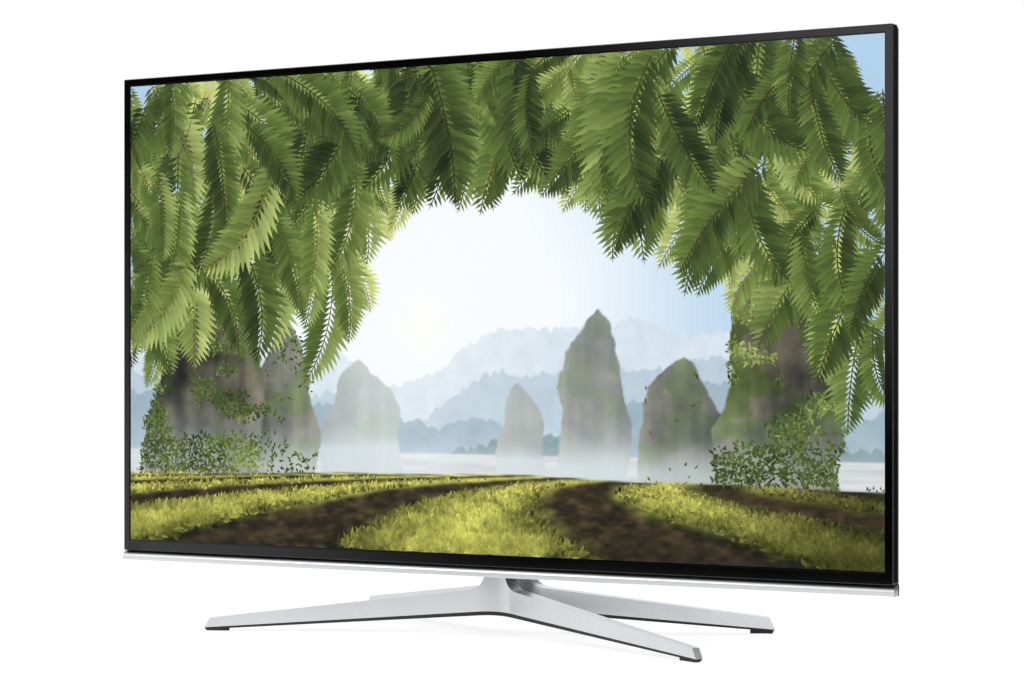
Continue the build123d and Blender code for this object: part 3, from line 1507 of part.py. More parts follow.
def lead(points, bend, radius):
    """Round wire along straight runs joined by arcs."""
    with BuildPart() as wire:
        with BuildLine() as route:
            if len(points) > 2:
                FilletPolyline(*points, radius=bend)
            else:
                Line(*points)
        with BuildSketch(Plane(origin=route.line @ 0, z_dir=route.line % 0)):
            Circle(radius)
        sweep()
    return wire.part


wire_bend = 3.2
wire_pair = 1.5
mains_wire_radius = 1.1
light_wire_radius = 0.9
speaker_wire_radius = 0.8
mains_face_y = front_y + low_face + mains_plug_thickness
with BuildPart() as mains_wires:
    for pin_y, pin_z in inlet_pin_places:
        mains_route = [
            (inlet_back_x + inlet_tail, pin_y, pin_z),
            (mains_plug_x, pin_y, pin_z),
            (mains_plug_x, mains_face_y, pin_z),
        ]
        add(lead(mains_route, 2 * wire_bend, mains_wire_radius))
write_piece(mains_wires, "mains_wires")

# Leads of the light bars end in a small plug on each spreader
light_run_depth = 15.0
light_run_z = 455.0
light_plug_x = spreader_outer - spreader_reach / 2
light_plug_face = chassis_back + spreader_wall
light_run_y = front_y + light_run_depth
plug_middle_y = front_y + low_face + plug_thickness / 2
light_step_x = left_light_x - light_plug_wide / 2 - 3 * wire_bend
with BuildPart() as backlight_leads:
    for offset_z in (-wire_pair, wire_pair):
        left_route = [
            (left_light_x - light_plug_wide / 2, plug_middle_y, left_light_z + offset_z),
            (light_step_x, plug_middle_y, left_light_z + offset_z),
            (light_step_x, light_run_y, left_light_z + offset_z),
            (-light_plug_x + light_plug_wide / 2, light_run_y, left_light_z + offset_z),
        ]
        add(lead(left_route, wire_bend, light_wire_radius))
        right_top = right_light_z + light_plug_wide / 2
        right_route = [
            (right_light_x - offset_z, plug_middle_y, right_top),
            (right_light_x - offset_z, plug_middle_y, right_top + 3 * wire_bend),
            (right_light_x - offset_z, light_run_y, right_top + 3 * wire_bend),
            (right_light_x - offset_z, light_run_y, light_run_z + offset_z),
            (light_plug_x - light_plug_wide / 2, light_run_y, light_run_z + offset_z),
        ]
        add(lead(right_route, wire_bend, light_wire_radius))
    with BuildSketch(depth_plane(light_plug_face)):
        with Locations((-light_plug_x, left_light_z), (light_plug_x, light_run_z)):
            Rectangle(light_plug_wide, light_plug_long)
    extrude(amount=-plug_thickness)
write_piece(backlight_leads, "backlight_leads")

# Speakers: closed boxes on the floor of the bulge, each with two drivers that fire down
speaker_length = 220.0
speaker_wall = 2.0
speaker_start = 24.0
speaker_depth = 38.0
speaker_top_z = 126.0
driver_spread = 55.0
driver_hole_radius = 15.0
speaker_bottom_z = bulge_bottom_z + cover_wall
speaker_y = front_y + speaker_start + speaker_depth / 2
driver_places = [
    (side * grille_x + spread, speaker_y) for side in (-1, 1) for spread in (-driver_spread, driver_spread)
]
with BuildPart() as speaker_boxes:
    with BuildSketch(Plane.XY.offset(speaker_bottom_z)):
        with Locations((-grille_x, speaker_y), (grille_x, speaker_y)):
            Rectangle(speaker_length, speaker_depth)
    extrude(amount=speaker_top_z - speaker_bottom_z)
    with BuildSketch(Plane.XY.offset(speaker_bottom_z + speaker_wall)):
        with Locations((-grille_x, speaker_y), (grille_x, speaker_y)):
            Rectangle(speaker_length - 2 * speaker_wall, speaker_depth - 2 * speaker_wall)
    extrude(amount=speaker_top_z - speaker_bottom_z - 2 * speaker_wall, mode=Mode.SUBTRACT)
    with BuildSketch(Plane.XY.offset(speaker_bottom_z)):
        with Locations(*driver_places):
            Circle(driver_hole_radius)
    extrude(amount=speaker_wall, mode=Mode.SUBTRACT)
write_piece(speaker_boxes, "speaker_boxes")

driver_neck_radius = driver_hole_radius - fit_gap
driver_flange_width = 2.0
driver_flange_radius = driver_neck_radius + driver_flange_width
driver_flange = 1.6
cone_inset = 1.6
cone_radius = driver_neck_radius - cone_inset
cone_depth = 6.0
dust_cap_radius = 3.6
magnet_radius = 9.0
magnet_top = 15.0
basket_neck = 6.5
with BuildPart() as speaker_drivers:
    with BuildSketch(Plane.XZ):
        Polygon(
            (0, cone_depth),
            (dust_cap_radius, cone_depth - speaker_wall / 4),
            (cone_radius, speaker_wall / 2),
            (driver_neck_radius, speaker_wall / 2),
            (driver_neck_radius, speaker_wall),
            (driver_flange_radius, speaker_wall),
            (driver_flange_radius, speaker_wall + driver_flange),
            (driver_neck_radius, speaker_wall + driver_flange),
            (basket_neck, cone_depth + speaker_wall),
            (magnet_radius, cone_depth + speaker_wall),
            (magnet_radius, magnet_top),
            (0, magnet_top),
            align=None,
        )
    one_driver = revolve(axis=Axis.Z, mode=Mode.PRIVATE)
    with Locations(*[(x, y, speaker_bottom_z) for x, y in driver_places]):
        add(one_driver)
write_piece(speaker_drivers, "speaker_drivers")

speaker_lead_y = front_y + board_face + plug_thickness / 2
left_drop_gap = 12.0
left_drop_x = -bracket_width / 2 - left_drop_gap
left_turn_z = speaker_top_z + bracket_flange
left_entry_x = -grille_x + speaker_length / 2 - bracket_flange
edge_plug_face_x = edge_plug_x - light_plug_wide / 2
with BuildPart() as speaker_leads:
    for offset_x in (-wire_pair, wire_pair):
        add(
            lead(
                [
                    (right_speaker_x + offset_x, speaker_lead_y, right_speaker_z - light_plug_wide / 2),
                    (right_speaker_x + offset_x, speaker_lead_y, speaker_top_z),
                ],
                wire_bend,
                speaker_wire_radius,
            )
        )
        left_run = [
            (edge_plug_face_x, speaker_lead_y, left_speaker_z + offset_x),
            (left_drop_x - offset_x, speaker_lead_y, left_speaker_z + offset_x),
            (left_drop_x - offset_x, speaker_lead_y, left_turn_z + offset_x),
            (left_entry_x - offset_x, speaker_lead_y, left_turn_z + offset_x),
            (left_entry_x - offset_x, speaker_lead_y, speaker_top_z),
        ]
        add(lead(left_run, wire_bend, speaker_wire_radius))
write_piece(speaker_leads, "speaker_leads")

# Remote sensor board behind its window, and the wireless module on the tray
sensor_board_width = 26.0
receiver_width = 8.0
receiver_height = 5.0
receiver_thickness = 0.8
sensor_board_start = bezel_face + receiver_thickness
with BuildPart() as sensor_board:
    with BuildSketch(depth_plane(sensor_board_start)):
        with Locations((sensor_x, sensor_board_z)):
            Rectangle(sensor_board_width, sensor_board_height)
    extrude(amount=-(ledge_start - sensor_board_start))
    with BuildSketch(depth_plane(bezel_face)):
        with Locations((sensor_x, sensor_board_z)):
            Rectangle(receiver_width, receiver_height)
    extrude(amount=-receiver_thickness)
write_piece(sensor_board, "sensor_board")

wireless_x = -455.0
wireless_z = 400.0
wireless_width = 46.0
wireless_height = 22.0
wireless_thickness = 1.0
wireless_can_share = 0.55
wireless_can_height_share = 0.75
wireless_can = 1.6
with BuildPart() as wireless_module:
    with BuildSketch(depth_plane(chassis_back)):
        with Locations((wireless_x, wireless_z)):
            Rectangle(wireless_width, wireless_height)
    extrude(amount=-wireless_thickness)
    with BuildSketch(depth_plane(chassis_back + wireless_thickness)):
        with Locations((wireless_x, wireless_z)):
            Rectangle(wireless_can_share * wireless_width, wireless_can_height_share * wireless_height)
    extrude(amount=-wireless_can)
write_piece(wireless_module, "wireless_module")

# Their leads run low over the tray, under the power board, to the main board
signal_run_z = 200.0
signal_run_depth = 14.0
signal_pitch = 3.0
signal_turn_x = 100.0
signal_run_y = front_y + signal_run_depth
wireless_bottom = wireless_z - wireless_height / 2
wireless_lead_y = front_y + chassis_back + signal_wire_radius + fit_gap
with BuildPart() as signal_leads:
    sensor_route = [
        (sensor_lead_x, front_y + ledge_start, sensor_board_z),
        (sensor_lead_x, signal_run_y, sensor_board_z),
        (sensor_lead_x, signal_run_y, signal_run_z),
        (signal_turn_x, signal_run_y, signal_run_z),
        (signal_turn_x, speaker_lead_y, signal_run_z),
        (edge_plug_face_x, speaker_lead_y, signal_run_z),
    ]
    add(lead(sensor_route, wire_bend, signal_wire_radius))
    wireless_route = [
        (wireless_x, wireless_lead_y, wireless_bottom),
        (wireless_x, wireless_lead_y, signal_run_z + signal_pitch),
        (signal_turn_x - signal_pitch, wireless_lead_y, signal_run_z + signal_pitch),
        (signal_turn_x - signal_pitch, speaker_lead_y, signal_run_z + signal_pitch),
        (edge_plug_face_x, speaker_lead_y, signal_run_z + signal_pitch),
    ]
    add(lead(wireless_route, wire_bend, signal_wire_radius))
write_piece(signal_leads, "signal_leads")

# Rear controller: the knob tilts up, down, left and right on a gimbal, and is pressed forwards
controller_board_width = 44.0
controller_board_height = 36.0
controller_board_thickness = 1.2
housing_size = 30.0
housing_wall = 3.0
housing_floor = 2.0
housing_length = 16.0
switch_radius = 3.0
switch_height = 1.2
ring_size = 20.0
ring_wall = 2.5
ring_thickness = 4.0
rocker_size = 9.0
rocker_length = 8.0
stem_radius = 2.0
stem_start = 60.5
stem_socket_depth = 2.5
knob_start = 77.5
pin_reach_gap = 0.2
pin_bore = pin_radius + pin_gap
pivot_y = front_y + pivot_depth

controller_board = slab(
    controller_board_width,
    controller_board_height,
    knob_x,
    knob_z,
    controller_board_back - controller_board_thickness,
    controller_board_thickness,
)
write_piece(controller_board, "controller_board")

with BuildPart() as controller_housing:
    with BuildSketch(depth_plane(controller_board_back)):
        with Locations((knob_x, knob_z)):
            Rectangle(housing_size, housing_size)
    extrude(amount=-housing_length)
    with BuildSketch(depth_plane(controller_board_back + housing_floor)):
        with Locations((knob_x, knob_z)):
            Rectangle(housing_size - 2 * housing_wall, housing_size - 2 * housing_wall)
    extrude(amount=-housing_length, mode=Mode.SUBTRACT)
    with BuildSketch(depth_plane(controller_board_back + housing_floor)):
        with Locations((knob_x, knob_z)):
            Circle(switch_radius)
    extrude(amount=-switch_height)
    with BuildSketch(Plane.YZ.offset(knob_x - housing_size / 2)):
        with Locations((pivot_y, knob_z)):
            Circle(pin_bore)
    extrude(amount=housing_size, mode=Mode.SUBTRACT)
write_piece(controller_housing, "controller_housing")

with BuildPart() as controller_gimbal:
    with BuildSketch(depth_plane(pivot_depth - ring_thickness / 2)):
        with Locations((knob_x, knob_z)):
            Rectangle(ring_size, ring_size)
            Rectangle(ring_size - 2 * ring_wall, ring_size - 2 * ring_wall, mode=Mode.SUBTRACT)
    extrude(amount=-ring_thickness)
    for side in (-1, 1):
        with BuildSketch(Plane.YZ.offset(knob_x + side * ring_size / 2)):
            with Locations((pivot_y, knob_z)):
                Circle(pin_radius)
        extrude(amount=side * ((housing_size - ring_size) / 2 - pin_reach_gap))
    with BuildSketch(Plane.XY.offset(knob_z - ring_size / 2)):
        with Locations((knob_x, pivot_y)):
            Circle(pin_bore)
    extrude(amount=ring_size, mode=Mode.SUBTRACT)
write_piece(controller_gimbal, "controller_gimbal")

with BuildPart() as controller_rocker:
    with BuildSketch(depth_plane(pivot_depth - rocker_length / 2)):
        with Locations((knob_x, knob_z)):
            Rectangle(rocker_size, rocker_size)
    extrude(amount=-rocker_length)
    with BuildSketch(Plane.XY.offset(knob_z - ring_size / 2 + pin_reach_gap)):
        with Locations((knob_x, pivot_y)):
            Circle(pin_radius)
    extrude(amount=ring_size - 2 * pin_reach_gap)
    with BuildSketch(depth_plane(pivot_depth - rocker_length / 2)):
        with Locations((knob_x, knob_z)):
            Circle(stem_radius + pin_gap)
    extrude(amount=-rocker_length, mode=Mode.SUBTRACT)
write_piece(controller_rocker, "controller_rocker")

stem_end = knob_start + stem_socket_depth
with BuildPart() as controller_stem:
    with BuildSketch(depth_plane(stem_start)):
        with Locations((knob_x, knob_z)):
            Circle(stem_radius)
    extrude(amount=-(stem_end - stem_start))
write_piece(controller_stem, "controller_stem")

knob_end = bulge_depth + knob_proud
with BuildPart() as controller_knob:
    with BuildSketch(depth_plane(knob_start)):
        with Locations((knob_x, knob_z)):
            Circle(knob_radius)
    extrude(amount=-(knob_end - knob_start))
    fillet(controller_knob.faces().sort_by(Axis.Y)[-1].edges(), knob_edge)
    with BuildSketch(depth_plane(knob_end - knob_dish_depth)):
        with Locations((knob_x, knob_z)):
            Circle(knob_radius - knob_rim)
    extrude(amount=-knob_dish_depth, mode=Mode.SUBTRACT)
    with BuildSketch(depth_plane(knob_start)):
        with Locations((knob_x, knob_z)):
            Circle(stem_radius + pin_gap)
    extrude(amount=-stem_socket_depth, mode=Mode.SUBTRACT)
write_piece(controller_knob, "controller_knob")
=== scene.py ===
import math

import bpy
import numpy as np
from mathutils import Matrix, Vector

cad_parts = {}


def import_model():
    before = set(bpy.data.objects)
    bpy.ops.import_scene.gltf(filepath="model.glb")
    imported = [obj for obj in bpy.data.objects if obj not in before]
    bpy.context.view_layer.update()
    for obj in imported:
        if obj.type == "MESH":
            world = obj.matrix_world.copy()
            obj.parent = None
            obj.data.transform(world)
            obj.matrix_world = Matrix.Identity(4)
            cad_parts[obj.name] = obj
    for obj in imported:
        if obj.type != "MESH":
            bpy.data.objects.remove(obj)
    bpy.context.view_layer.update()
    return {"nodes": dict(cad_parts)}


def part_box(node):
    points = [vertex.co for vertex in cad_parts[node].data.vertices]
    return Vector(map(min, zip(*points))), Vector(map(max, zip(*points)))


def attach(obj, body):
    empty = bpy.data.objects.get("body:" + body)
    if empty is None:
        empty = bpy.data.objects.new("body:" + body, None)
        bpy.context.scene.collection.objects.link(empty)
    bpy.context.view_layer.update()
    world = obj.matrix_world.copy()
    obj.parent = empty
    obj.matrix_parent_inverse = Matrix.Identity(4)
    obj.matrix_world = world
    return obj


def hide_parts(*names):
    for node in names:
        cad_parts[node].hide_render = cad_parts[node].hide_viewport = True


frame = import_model()
scene = bpy.context.scene
nodes_cad = frame["nodes"]

# Camera, solved from the corners of the picture, the moulding and the leg tips. Metres, millimetres
# for the lens, degrees for the turn.
CAMERA_PLACE = (1.4795, -2.4984, 0.3263)
CAMERA_TURN = 28.29
SENSOR_WIDTH = 36.0
LENS = 82.88
LENS_SHIFT = (-0.0859, 0.0253)
CLIP_RANGE = (0.05, 60.0)


def place_camera():
    data = bpy.data.cameras.new("camera")
    data.sensor_width = SENSOR_WIDTH
    data.lens = LENS
    data.shift_x, data.shift_y = LENS_SHIFT
    data.clip_start, data.clip_end = CLIP_RANGE
    camera = bpy.data.objects.new("camera", data)
    camera.location = CAMERA_PLACE
    camera.rotation_euler = (math.radians(90), 0, math.radians(CAMERA_TURN))
    scene.collection.objects.link(camera)
    scene.camera = camera


place_camera()
scene.view_settings.view_transform = "Standard"


# Material helpers
def new_material(name):
    mat = bpy.data.materials.new(name)
    mat.use_nodes = True
    tree = mat.node_tree
    bsdf = tree.nodes["Principled BSDF"]
    return mat, tree, bsdf


def coordinates(tree, scale=(1, 1, 1)):
    """Object coordinates, in metres, stretched by a mapping."""
    place = tree.nodes.new("ShaderNodeTexCoord")
    mapping = tree.nodes.new("ShaderNodeMapping")
    mapping.inputs["Scale"].default_value = scale
    tree.links.new(place.outputs["Object"], mapping.inputs["Vector"])
    return mapping.outputs["Vector"]


def axes(tree, vector):
    """The outputs X, Y and Z of a vector."""
    split = tree.nodes.new("ShaderNodeSeparateXYZ")
    tree.links.new(vector, split.inputs[0])
    return split.outputs


def noise(tree, vector, scale, detail=3.0, roughness=0.55):
    tex = tree.nodes.new("ShaderNodeTexNoise")
    tex.inputs["Scale"].default_value = scale
    tex.inputs["Detail"].default_value = detail
    tex.inputs["Roughness"].default_value = roughness
    tree.links.new(vector, tex.inputs["Vector"])
    return tex.outputs["Fac"]


def span(tree, value, low, high, from_low=0.3, from_high=0.7, kind="LINEAR"):
    """Maps a value, by default the middle range of a noise, to the range from low to high."""
    made = tree.nodes.new("ShaderNodeMapRange")
    made.interpolation_type = kind
    made.inputs["From Min"].default_value = from_low
    made.inputs["From Max"].default_value = from_high
    made.inputs["To Min"].default_value = low
    made.inputs["To Max"].default_value = high
    tree.links.new(value, made.inputs["Value"])
    return made.outputs["Result"]


def ramp(tree, value, edge, low=0.0, high=1.0):
    """Soft step from low to high where the value runs over an edge, which is a start and an end."""
    return span(tree, value, low, high, edge[0], edge[1], "SMOOTHSTEP")


def maths(tree, operation, first, *others):
    """A chain of maths nodes: the operation joins the first value with each of the others."""
    for other in others:
        made = tree.nodes.new("ShaderNodeMath")
        made.operation = operation
        for socket, value in zip(made.inputs, (first, other)):
            if isinstance(value, (int, float)):
                socket.default_value = value
            else:
                tree.links.new(value, socket)
        first = made.outputs[0]
    return first


def unsigned(tree, value):
    """The value without its sign."""
    return maths(tree, "ABSOLUTE", value, 0.0)


def tint(tree, bsdf, factor, dark, light):
    """Gives a shader a base colour between dark and light."""
    made = tree.nodes.new("ShaderNodeMix")
    made.data_type = "RGBA"
    made.inputs["A"].default_value = (*dark, 1)
    made.inputs["B"].default_value = (*light, 1)
    tree.links.new(factor, made.inputs["Factor"])
    tree.links.new(made.outputs["Result"], bsdf.inputs["Base Color"])


def bump(tree, bsdf, height, distance):
    made = tree.nodes.new("ShaderNodeBump")
    made.inputs["Distance"].default_value = distance
    made.inputs["Strength"].default_value = 1.0
    tree.links.new(height, made.inputs["Height"])
    tree.links.new(made.outputs["Normal"], bsdf.inputs["Normal"])


# Roughness patches are finer than the tint patches by this factor
PATCH_FINENESS = 1.7


def surface(
    name,
    dark,
    light,
    rough,
    metallic=0.0,
    tint_scale=40.0,
    grain_scale=900.0,
    grain_depth=0.00004,
    stretch=(1, 1, 1),
    coat=0.0,
    coat_rough=0.05,
):
    """General moulded or rolled surface: slow tint changes, roughness patches and a fine grain."""
    mat, tree, bsdf = new_material(name)
    vector = coordinates(tree, stretch)
    tint(tree, bsdf, span(tree, noise(tree, vector, tint_scale, 4.0), 0, 1), dark, light)
    patches = noise(tree, vector, tint_scale * PATCH_FINENESS, 5.0)
    tree.links.new(span(tree, patches, rough[0], rough[1]), bsdf.inputs["Roughness"])
    bsdf.inputs["Metallic"].default_value = metallic
    bsdf.inputs["Specular IOR Level"].default_value = 0.5
    bsdf.inputs["Coat Weight"].default_value = coat
    bsdf.inputs["Coat Roughness"].default_value = coat_rough
    bump(tree, bsdf, noise(tree, vector, grain_scale, 2.0), grain_depth)
    return mat


def dress(material, *names):
    for name in names:
        mesh = nodes_cad[name].data
        mesh.materials.clear()
        mesh.materials.append(material)


# The moulding's colour carries painted shade into its recess, between these shares of its height, down to
# this tone, and is black behind the plated part of its depth
RECESS_SHADE_SHARES = (0.28, 0.78)
RECESS_SHADE_TONE = 0.26
PLATED_DEPTH = 0.0135
PLATED_EDGE = 0.0003
UNPLATED_TONE = 0.02


def trim_material():
    """Brushed silver lip, with painted shade that darkens it into the recess, on a black moulding."""
    mat = surface(
        "trim_silver", (0.88, 0.89, 0.91), (0.94, 0.95, 0.96), (0.30, 0.36), metallic=0.92,
        tint_scale=30, grain_scale=500, grain_depth=0.000005, stretch=(0.04, 1, 1),
    )
    tree = mat.node_tree
    bsdf = tree.nodes["Principled BSDF"]
    low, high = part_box("bottom_trim")
    rise = high.z - low.z
    recess_shade_edge = [low.z + share * rise for share in RECESS_SHADE_SHARES]
    plated_edge = (low.y + PLATED_DEPTH, low.y + PLATED_DEPTH + PLATED_EDGE)
    place = axes(tree, coordinates(tree))
    # Painted shade: the base colour darkens upwards into the recess.
    recess_shade = ramp(tree, place["Z"], recess_shade_edge, 1.0, RECESS_SHADE_TONE)
    plated = ramp(tree, place["Y"], plated_edge, 1.0, UNPLATED_TONE)
    scale = tree.nodes.new("ShaderNodeVectorMath")
    scale.operation = "SCALE"
    tree.links.new(bsdf.inputs["Base Color"].links[0].from_socket, scale.inputs[0])
    tree.links.new(maths(tree, "MULTIPLY", recess_shade, plated), scale.inputs["Scale"])
    tree.links.new(scale.outputs["Vector"], bsdf.inputs["Base Color"])
    return mat


def board_material():
    """Green board with fine copper runs under the mask."""
    mat, tree, bsdf = new_material("board_green")
    runs = tree.nodes.new("ShaderNodeTexVoronoi")
    runs.feature = "DISTANCE_TO_EDGE"
    runs.inputs["Scale"].default_value = 160
    tree.links.new(coordinates(tree), runs.inputs["Vector"])
    lines = span(tree, runs.outputs["Distance"], 1, 0, 0.02, 0.06)
    tint(tree, bsdf, lines, (0.008, 0.07, 0.03), (0.03, 0.16, 0.06))
    bsdf.inputs["Roughness"].default_value = 0.35
    bump(tree, bsdf, lines, 0.00003)
    return mat


ACRYLIC_IOR = 1.49


def clear_material(name, colour, rough):
    mat, tree, bsdf = new_material(name)
    patches = noise(tree, coordinates(tree), 30)
    bsdf.inputs["Base Color"].default_value = (*colour, 1)
    bsdf.inputs["Transmission Weight"].default_value = 1.0
    bsdf.inputs["IOR"].default_value = ACRYLIC_IOR
    tree.links.new(span(tree, patches, rough[0], rough[1]), bsdf.inputs["Roughness"])
    return mat


PANEL_TINT = (0.93, 0.97, 0.95)
BORDER_BLACK = (0.002, 0.002, 0.002)
# The border reaches this far under the edge of the picture
BORDER_LAP = 0.0005


def panel_material():
    """Panel glass, black outside the picture."""
    mat = clear_material("panel_glass", PANEL_TINT, (0.02, 0.05))
    tree = mat.node_tree
    bsdf = tree.nodes["Principled BSDF"]
    low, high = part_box("front_polariser")
    place = axes(tree, coordinates(tree))
    across = unsigned(tree, place["X"])
    up = unsigned(tree, maths(tree, "SUBTRACT", place["Z"], (low.z + high.z) / 2))
    beside = maths(tree, "GREATER_THAN", across, high.x - BORDER_LAP)
    above = maths(tree, "GREATER_THAN", up, (high.z - low.z) / 2 - BORDER_LAP)
    border = maths(tree, "MAXIMUM", beside, above)
    tint(tree, bsdf, border, PANEL_TINT, BORDER_BLACK)
    tree.links.new(maths(tree, "SUBTRACT", 1.0, border), bsdf.inputs["Transmission Weight"])
    return mat


# Each surface: name, darker and lighter colour, least and most roughness, where it differs from the
# defaults of surface(), and the nodes that wear it
SURFACES = (
    # Outside
    (
        "bezel_black", (0.0008, 0.0008, 0.0010), (0.0016, 0.0016, 0.0018), (0.09, 0.13),
        dict(tint_scale=6, grain_scale=260, grain_depth=0.000002, coat=0.35, coat_rough=0.04),
        ("front_bezel",),
    ),
    (
        "window_black", (0.008, 0.003, 0.004), (0.012, 0.004, 0.005), (0.12, 0.18),
        dict(grain_scale=600, grain_depth=0.000002),
        ("sensor_window",),
    ),
    (
        "cover_black", (0.014, 0.014, 0.015), (0.020, 0.020, 0.021), (0.42, 0.56),
        dict(tint_scale=9, grain_scale=1500, grain_depth=0.00005),
        ("rear_cover",),
    ),
    (
        "leg_silver", (0.67, 0.68, 0.70), (0.72, 0.73, 0.75), (0.24, 0.30),
        dict(metallic=0.92, tint_scale=7, grain_scale=2500, grain_depth=0.0000004),
        ("front_leg_arch", "rear_leg_arch"),
    ),
    (
        "underside_black", (0.012, 0.012, 0.013), (0.02, 0.02, 0.021), (0.5, 0.65),
        dict(grain_scale=1200),
        ("front_leg_underside", "rear_leg_underside"),
    ),
    (
        "pad_rubber", (0.02, 0.02, 0.02), (0.032, 0.032, 0.032), (0.7, 0.85),
        dict(grain_scale=1500, grain_depth=0.00006),
        ("rubber_pads",),
    ),
    # Inside and back
    (
        "steel", (0.45, 0.46, 0.47), (0.60, 0.61, 0.62), (0.30, 0.45),
        dict(metallic=1.0, tint_scale=60, grain_scale=700, grain_depth=0.000015),
        (
            "rear_chassis", "stand_bracket", "card_slot", "usb_sockets", "hdmi_sockets",
            "antenna_jack", "tuner_module", "wireless_module", "wall_mount_columns",
        ),
    ),
    (
        "dark_steel", (0.03, 0.03, 0.032), (0.05, 0.05, 0.052), (0.35, 0.5),
        dict(metallic=0.8, tint_scale=60, grain_depth=0.00002),
        ("neck_core", "stand_screws", "rear_cover_screws", "board_screws"),
    ),
    (
        "bare_aluminium", (0.60, 0.61, 0.63), (0.72, 0.73, 0.74), (0.28, 0.40),
        dict(metallic=1.0, tint_scale=50, grain_scale=800, grain_depth=0.00002, stretch=(1, 1, 0.08)),
        ("heat_spreaders", "processor_heat_sink", "power_heat_sinks"),
    ),
    (
        "brass", (0.62, 0.45, 0.18), (0.78, 0.60, 0.28), (0.2, 0.32),
        dict(metallic=1.0, tint_scale=80, grain_scale=1200, grain_depth=0.00001),
        ("inlet_pins",),
    ),
    (
        "black_plastic", (0.014, 0.014, 0.015), (0.022, 0.022, 0.023), (0.4, 0.55),
        dict(tint_scale=60, grain_scale=1600, grain_depth=0.00003),
        (
            "mid_frame", "network_socket", "audio_jacks", "power_inlet", "speaker_boxes",
            "speaker_drivers", "controller_housing", "controller_gimbal", "controller_rocker",
            "controller_stem", "controller_knob", "mains_wires", "speaker_leads", "signal_leads",
            "power_capacitors",
        ),
    ),
    (
        "white_film", (0.78, 0.79, 0.80), (0.84, 0.85, 0.85), (0.4, 0.6),
        dict(tint_scale=20, grain_scale=1500, grain_depth=0.00002),
        ("prism_film", "diffuser_film", "reflector_sheet", "led_strips", "ribbon_cables"),
    ),
    (
        "amber_film", (0.32, 0.13, 0.02), (0.42, 0.20, 0.04), (0.3, 0.45),
        dict(tint_scale=90, grain_depth=0.00002),
        ("panel_flex_films",),
    ),
    (
        "grey_wire", (0.20, 0.20, 0.21), (0.28, 0.28, 0.29), (0.5, 0.6),
        dict(tint_scale=90, grain_depth=0.00002),
        ("backlight_leads", "board_power_cable"),
    ),
    (
        "yellow_tape", (0.52, 0.36, 0.06), (0.66, 0.48, 0.10), (0.35, 0.5),
        dict(tint_scale=70, grain_scale=700),
        ("power_transformers",),
    ),
)
BOARDS = (
    "main_board", "power_board", "timing_board", "source_boards", "sensor_board", "controller_board",
)

for name, dark, light, rough, settings, dressed in SURFACES:
    dress(surface(name, dark, light, rough, **settings), *dressed)
dress(trim_material(), "bottom_trim")
dress(board_material(), *BOARDS)
dress(panel_material(), "lcd_glass")
dress(clear_material("guide_acrylic", (0.95, 0.97, 0.97), (0.08, 0.16)), "light_guide")

# Screen picture: a made-up view of steep rock hills over a misty lake, framed by hanging fern fronds.
# Places on it are u and v, from 0 to 1 from its lower left corner. Its colours are display values.
PICTURE_ASPECT = 1.78
HEIGHT_SHARE = 0.5625
GROUND_POINTS = (560, 315)
GLOW = (0.43, 0.47)
SHORE = 0.165
LAKE_END = 0.205
# Ridges behind the lake, the far ones first: seed, height, relief, colour
RIDGES = (
    (41, 0.40, 0.10, (0.84, 0.89, 0.93)),
    (43, 0.33, 0.11, (0.74, 0.81, 0.86)),
    (47, 0.265, 0.10, (0.62, 0.71, 0.76)),
    (53, 0.215, 0.07, (0.50, 0.60, 0.60)),
)
# Steep hills, the far ones first: middle, half width, height of the top, haze, seed
HILLS = (
    (0.345, 0.060, 0.40, 0.66, 53),
    (0.560, 0.034, 0.35, 0.60, 59),
    (0.655, 0.050, 0.50, 0.46, 37),
    (0.765, 0.055, 0.40, 0.30, 29),
    (0.235, 0.050, 0.47, 0.26, 31),
    (0.120, 0.088, 0.66, 0.06, 11),
    (0.885, 0.075, 0.62, 0.06, 23),
)
HAZE_COLOUR = (0.90, 0.94, 0.96)
LEAF_SEED = 8
HILL_PLANTS = 60000
ROW_PLANTS = 30000
FRONDS = 430
FROND_PAIRS = 22
# How far down from the top edge fronds start, across the picture
FROND_PLACES = (-0.1, 0.0, 0.15, 0.30, 0.42, 0.55, 0.68, 0.82, 0.94, 1.1)
FROND_REACH = (0.66, 0.60, 0.38, 0.46, 0.16, 0.10, 0.20, 0.30, 0.58, 0.70)
# The leaves lie in front of the ground layer, the near ones furthest out, in metres
LEAF_GAP = 0.00003
LEAF_SPREAD = 0.00015
LAYER_RANGE = 1.1
# Tones of a leaf at its foot, one side, its tip and the other side
LEAF_SHADES = (0.90, 1.06, 1.18, 0.86)
# Leaf colours in shade, in plain light and where light comes through
LEAF_COLOURS = np.array([(0.095, 0.125, 0.075), (0.35, 0.43, 0.20), (0.78, 0.82, 0.50)])


def smooth(t):
    t = np.clip(t, 0, 1)
    return t * t * (3 - 2 * t)


def bell(distance, width):
    """1 at no distance, falling off around the width."""
    return np.exp(-((distance / width) ** 2))


def value_noise(seed, u, v, cells_u, cells_v):
    """Smooth random field over the picture."""
    rng = np.random.default_rng(seed)
    table = rng.random((int(cells_v) + 2, int(cells_u) + 2))
    x = np.clip(u, 0, 1) * cells_u
    y = np.clip(v, 0, 1) * cells_v
    i = np.minimum(x.astype(int), int(cells_u))
    j = np.minimum(y.astype(int), int(cells_v))
    fx = smooth(x - i)
    fy = smooth(y - j)
    low = table[j, i] * (1 - fx) + table[j, i + 1] * fx
    high = table[j + 1, i] * (1 - fx) + table[j + 1, i + 1] * fx
    return low * (1 - fy) + high * fy


def cloud(seed, u, v, cells, octaves=5, stretch=1.0):
    """Layered value noise, about 0 to 1."""
    total = np.zeros_like(u)
    weight = 0.0
    for n in range(octaves):
        share = 0.5**n
        cells_v = cells * HEIGHT_SHARE * stretch * 2**n
        total += share * value_noise(seed + n, u, v, cells * 2**n, cells_v)
        weight += share
    return total / weight


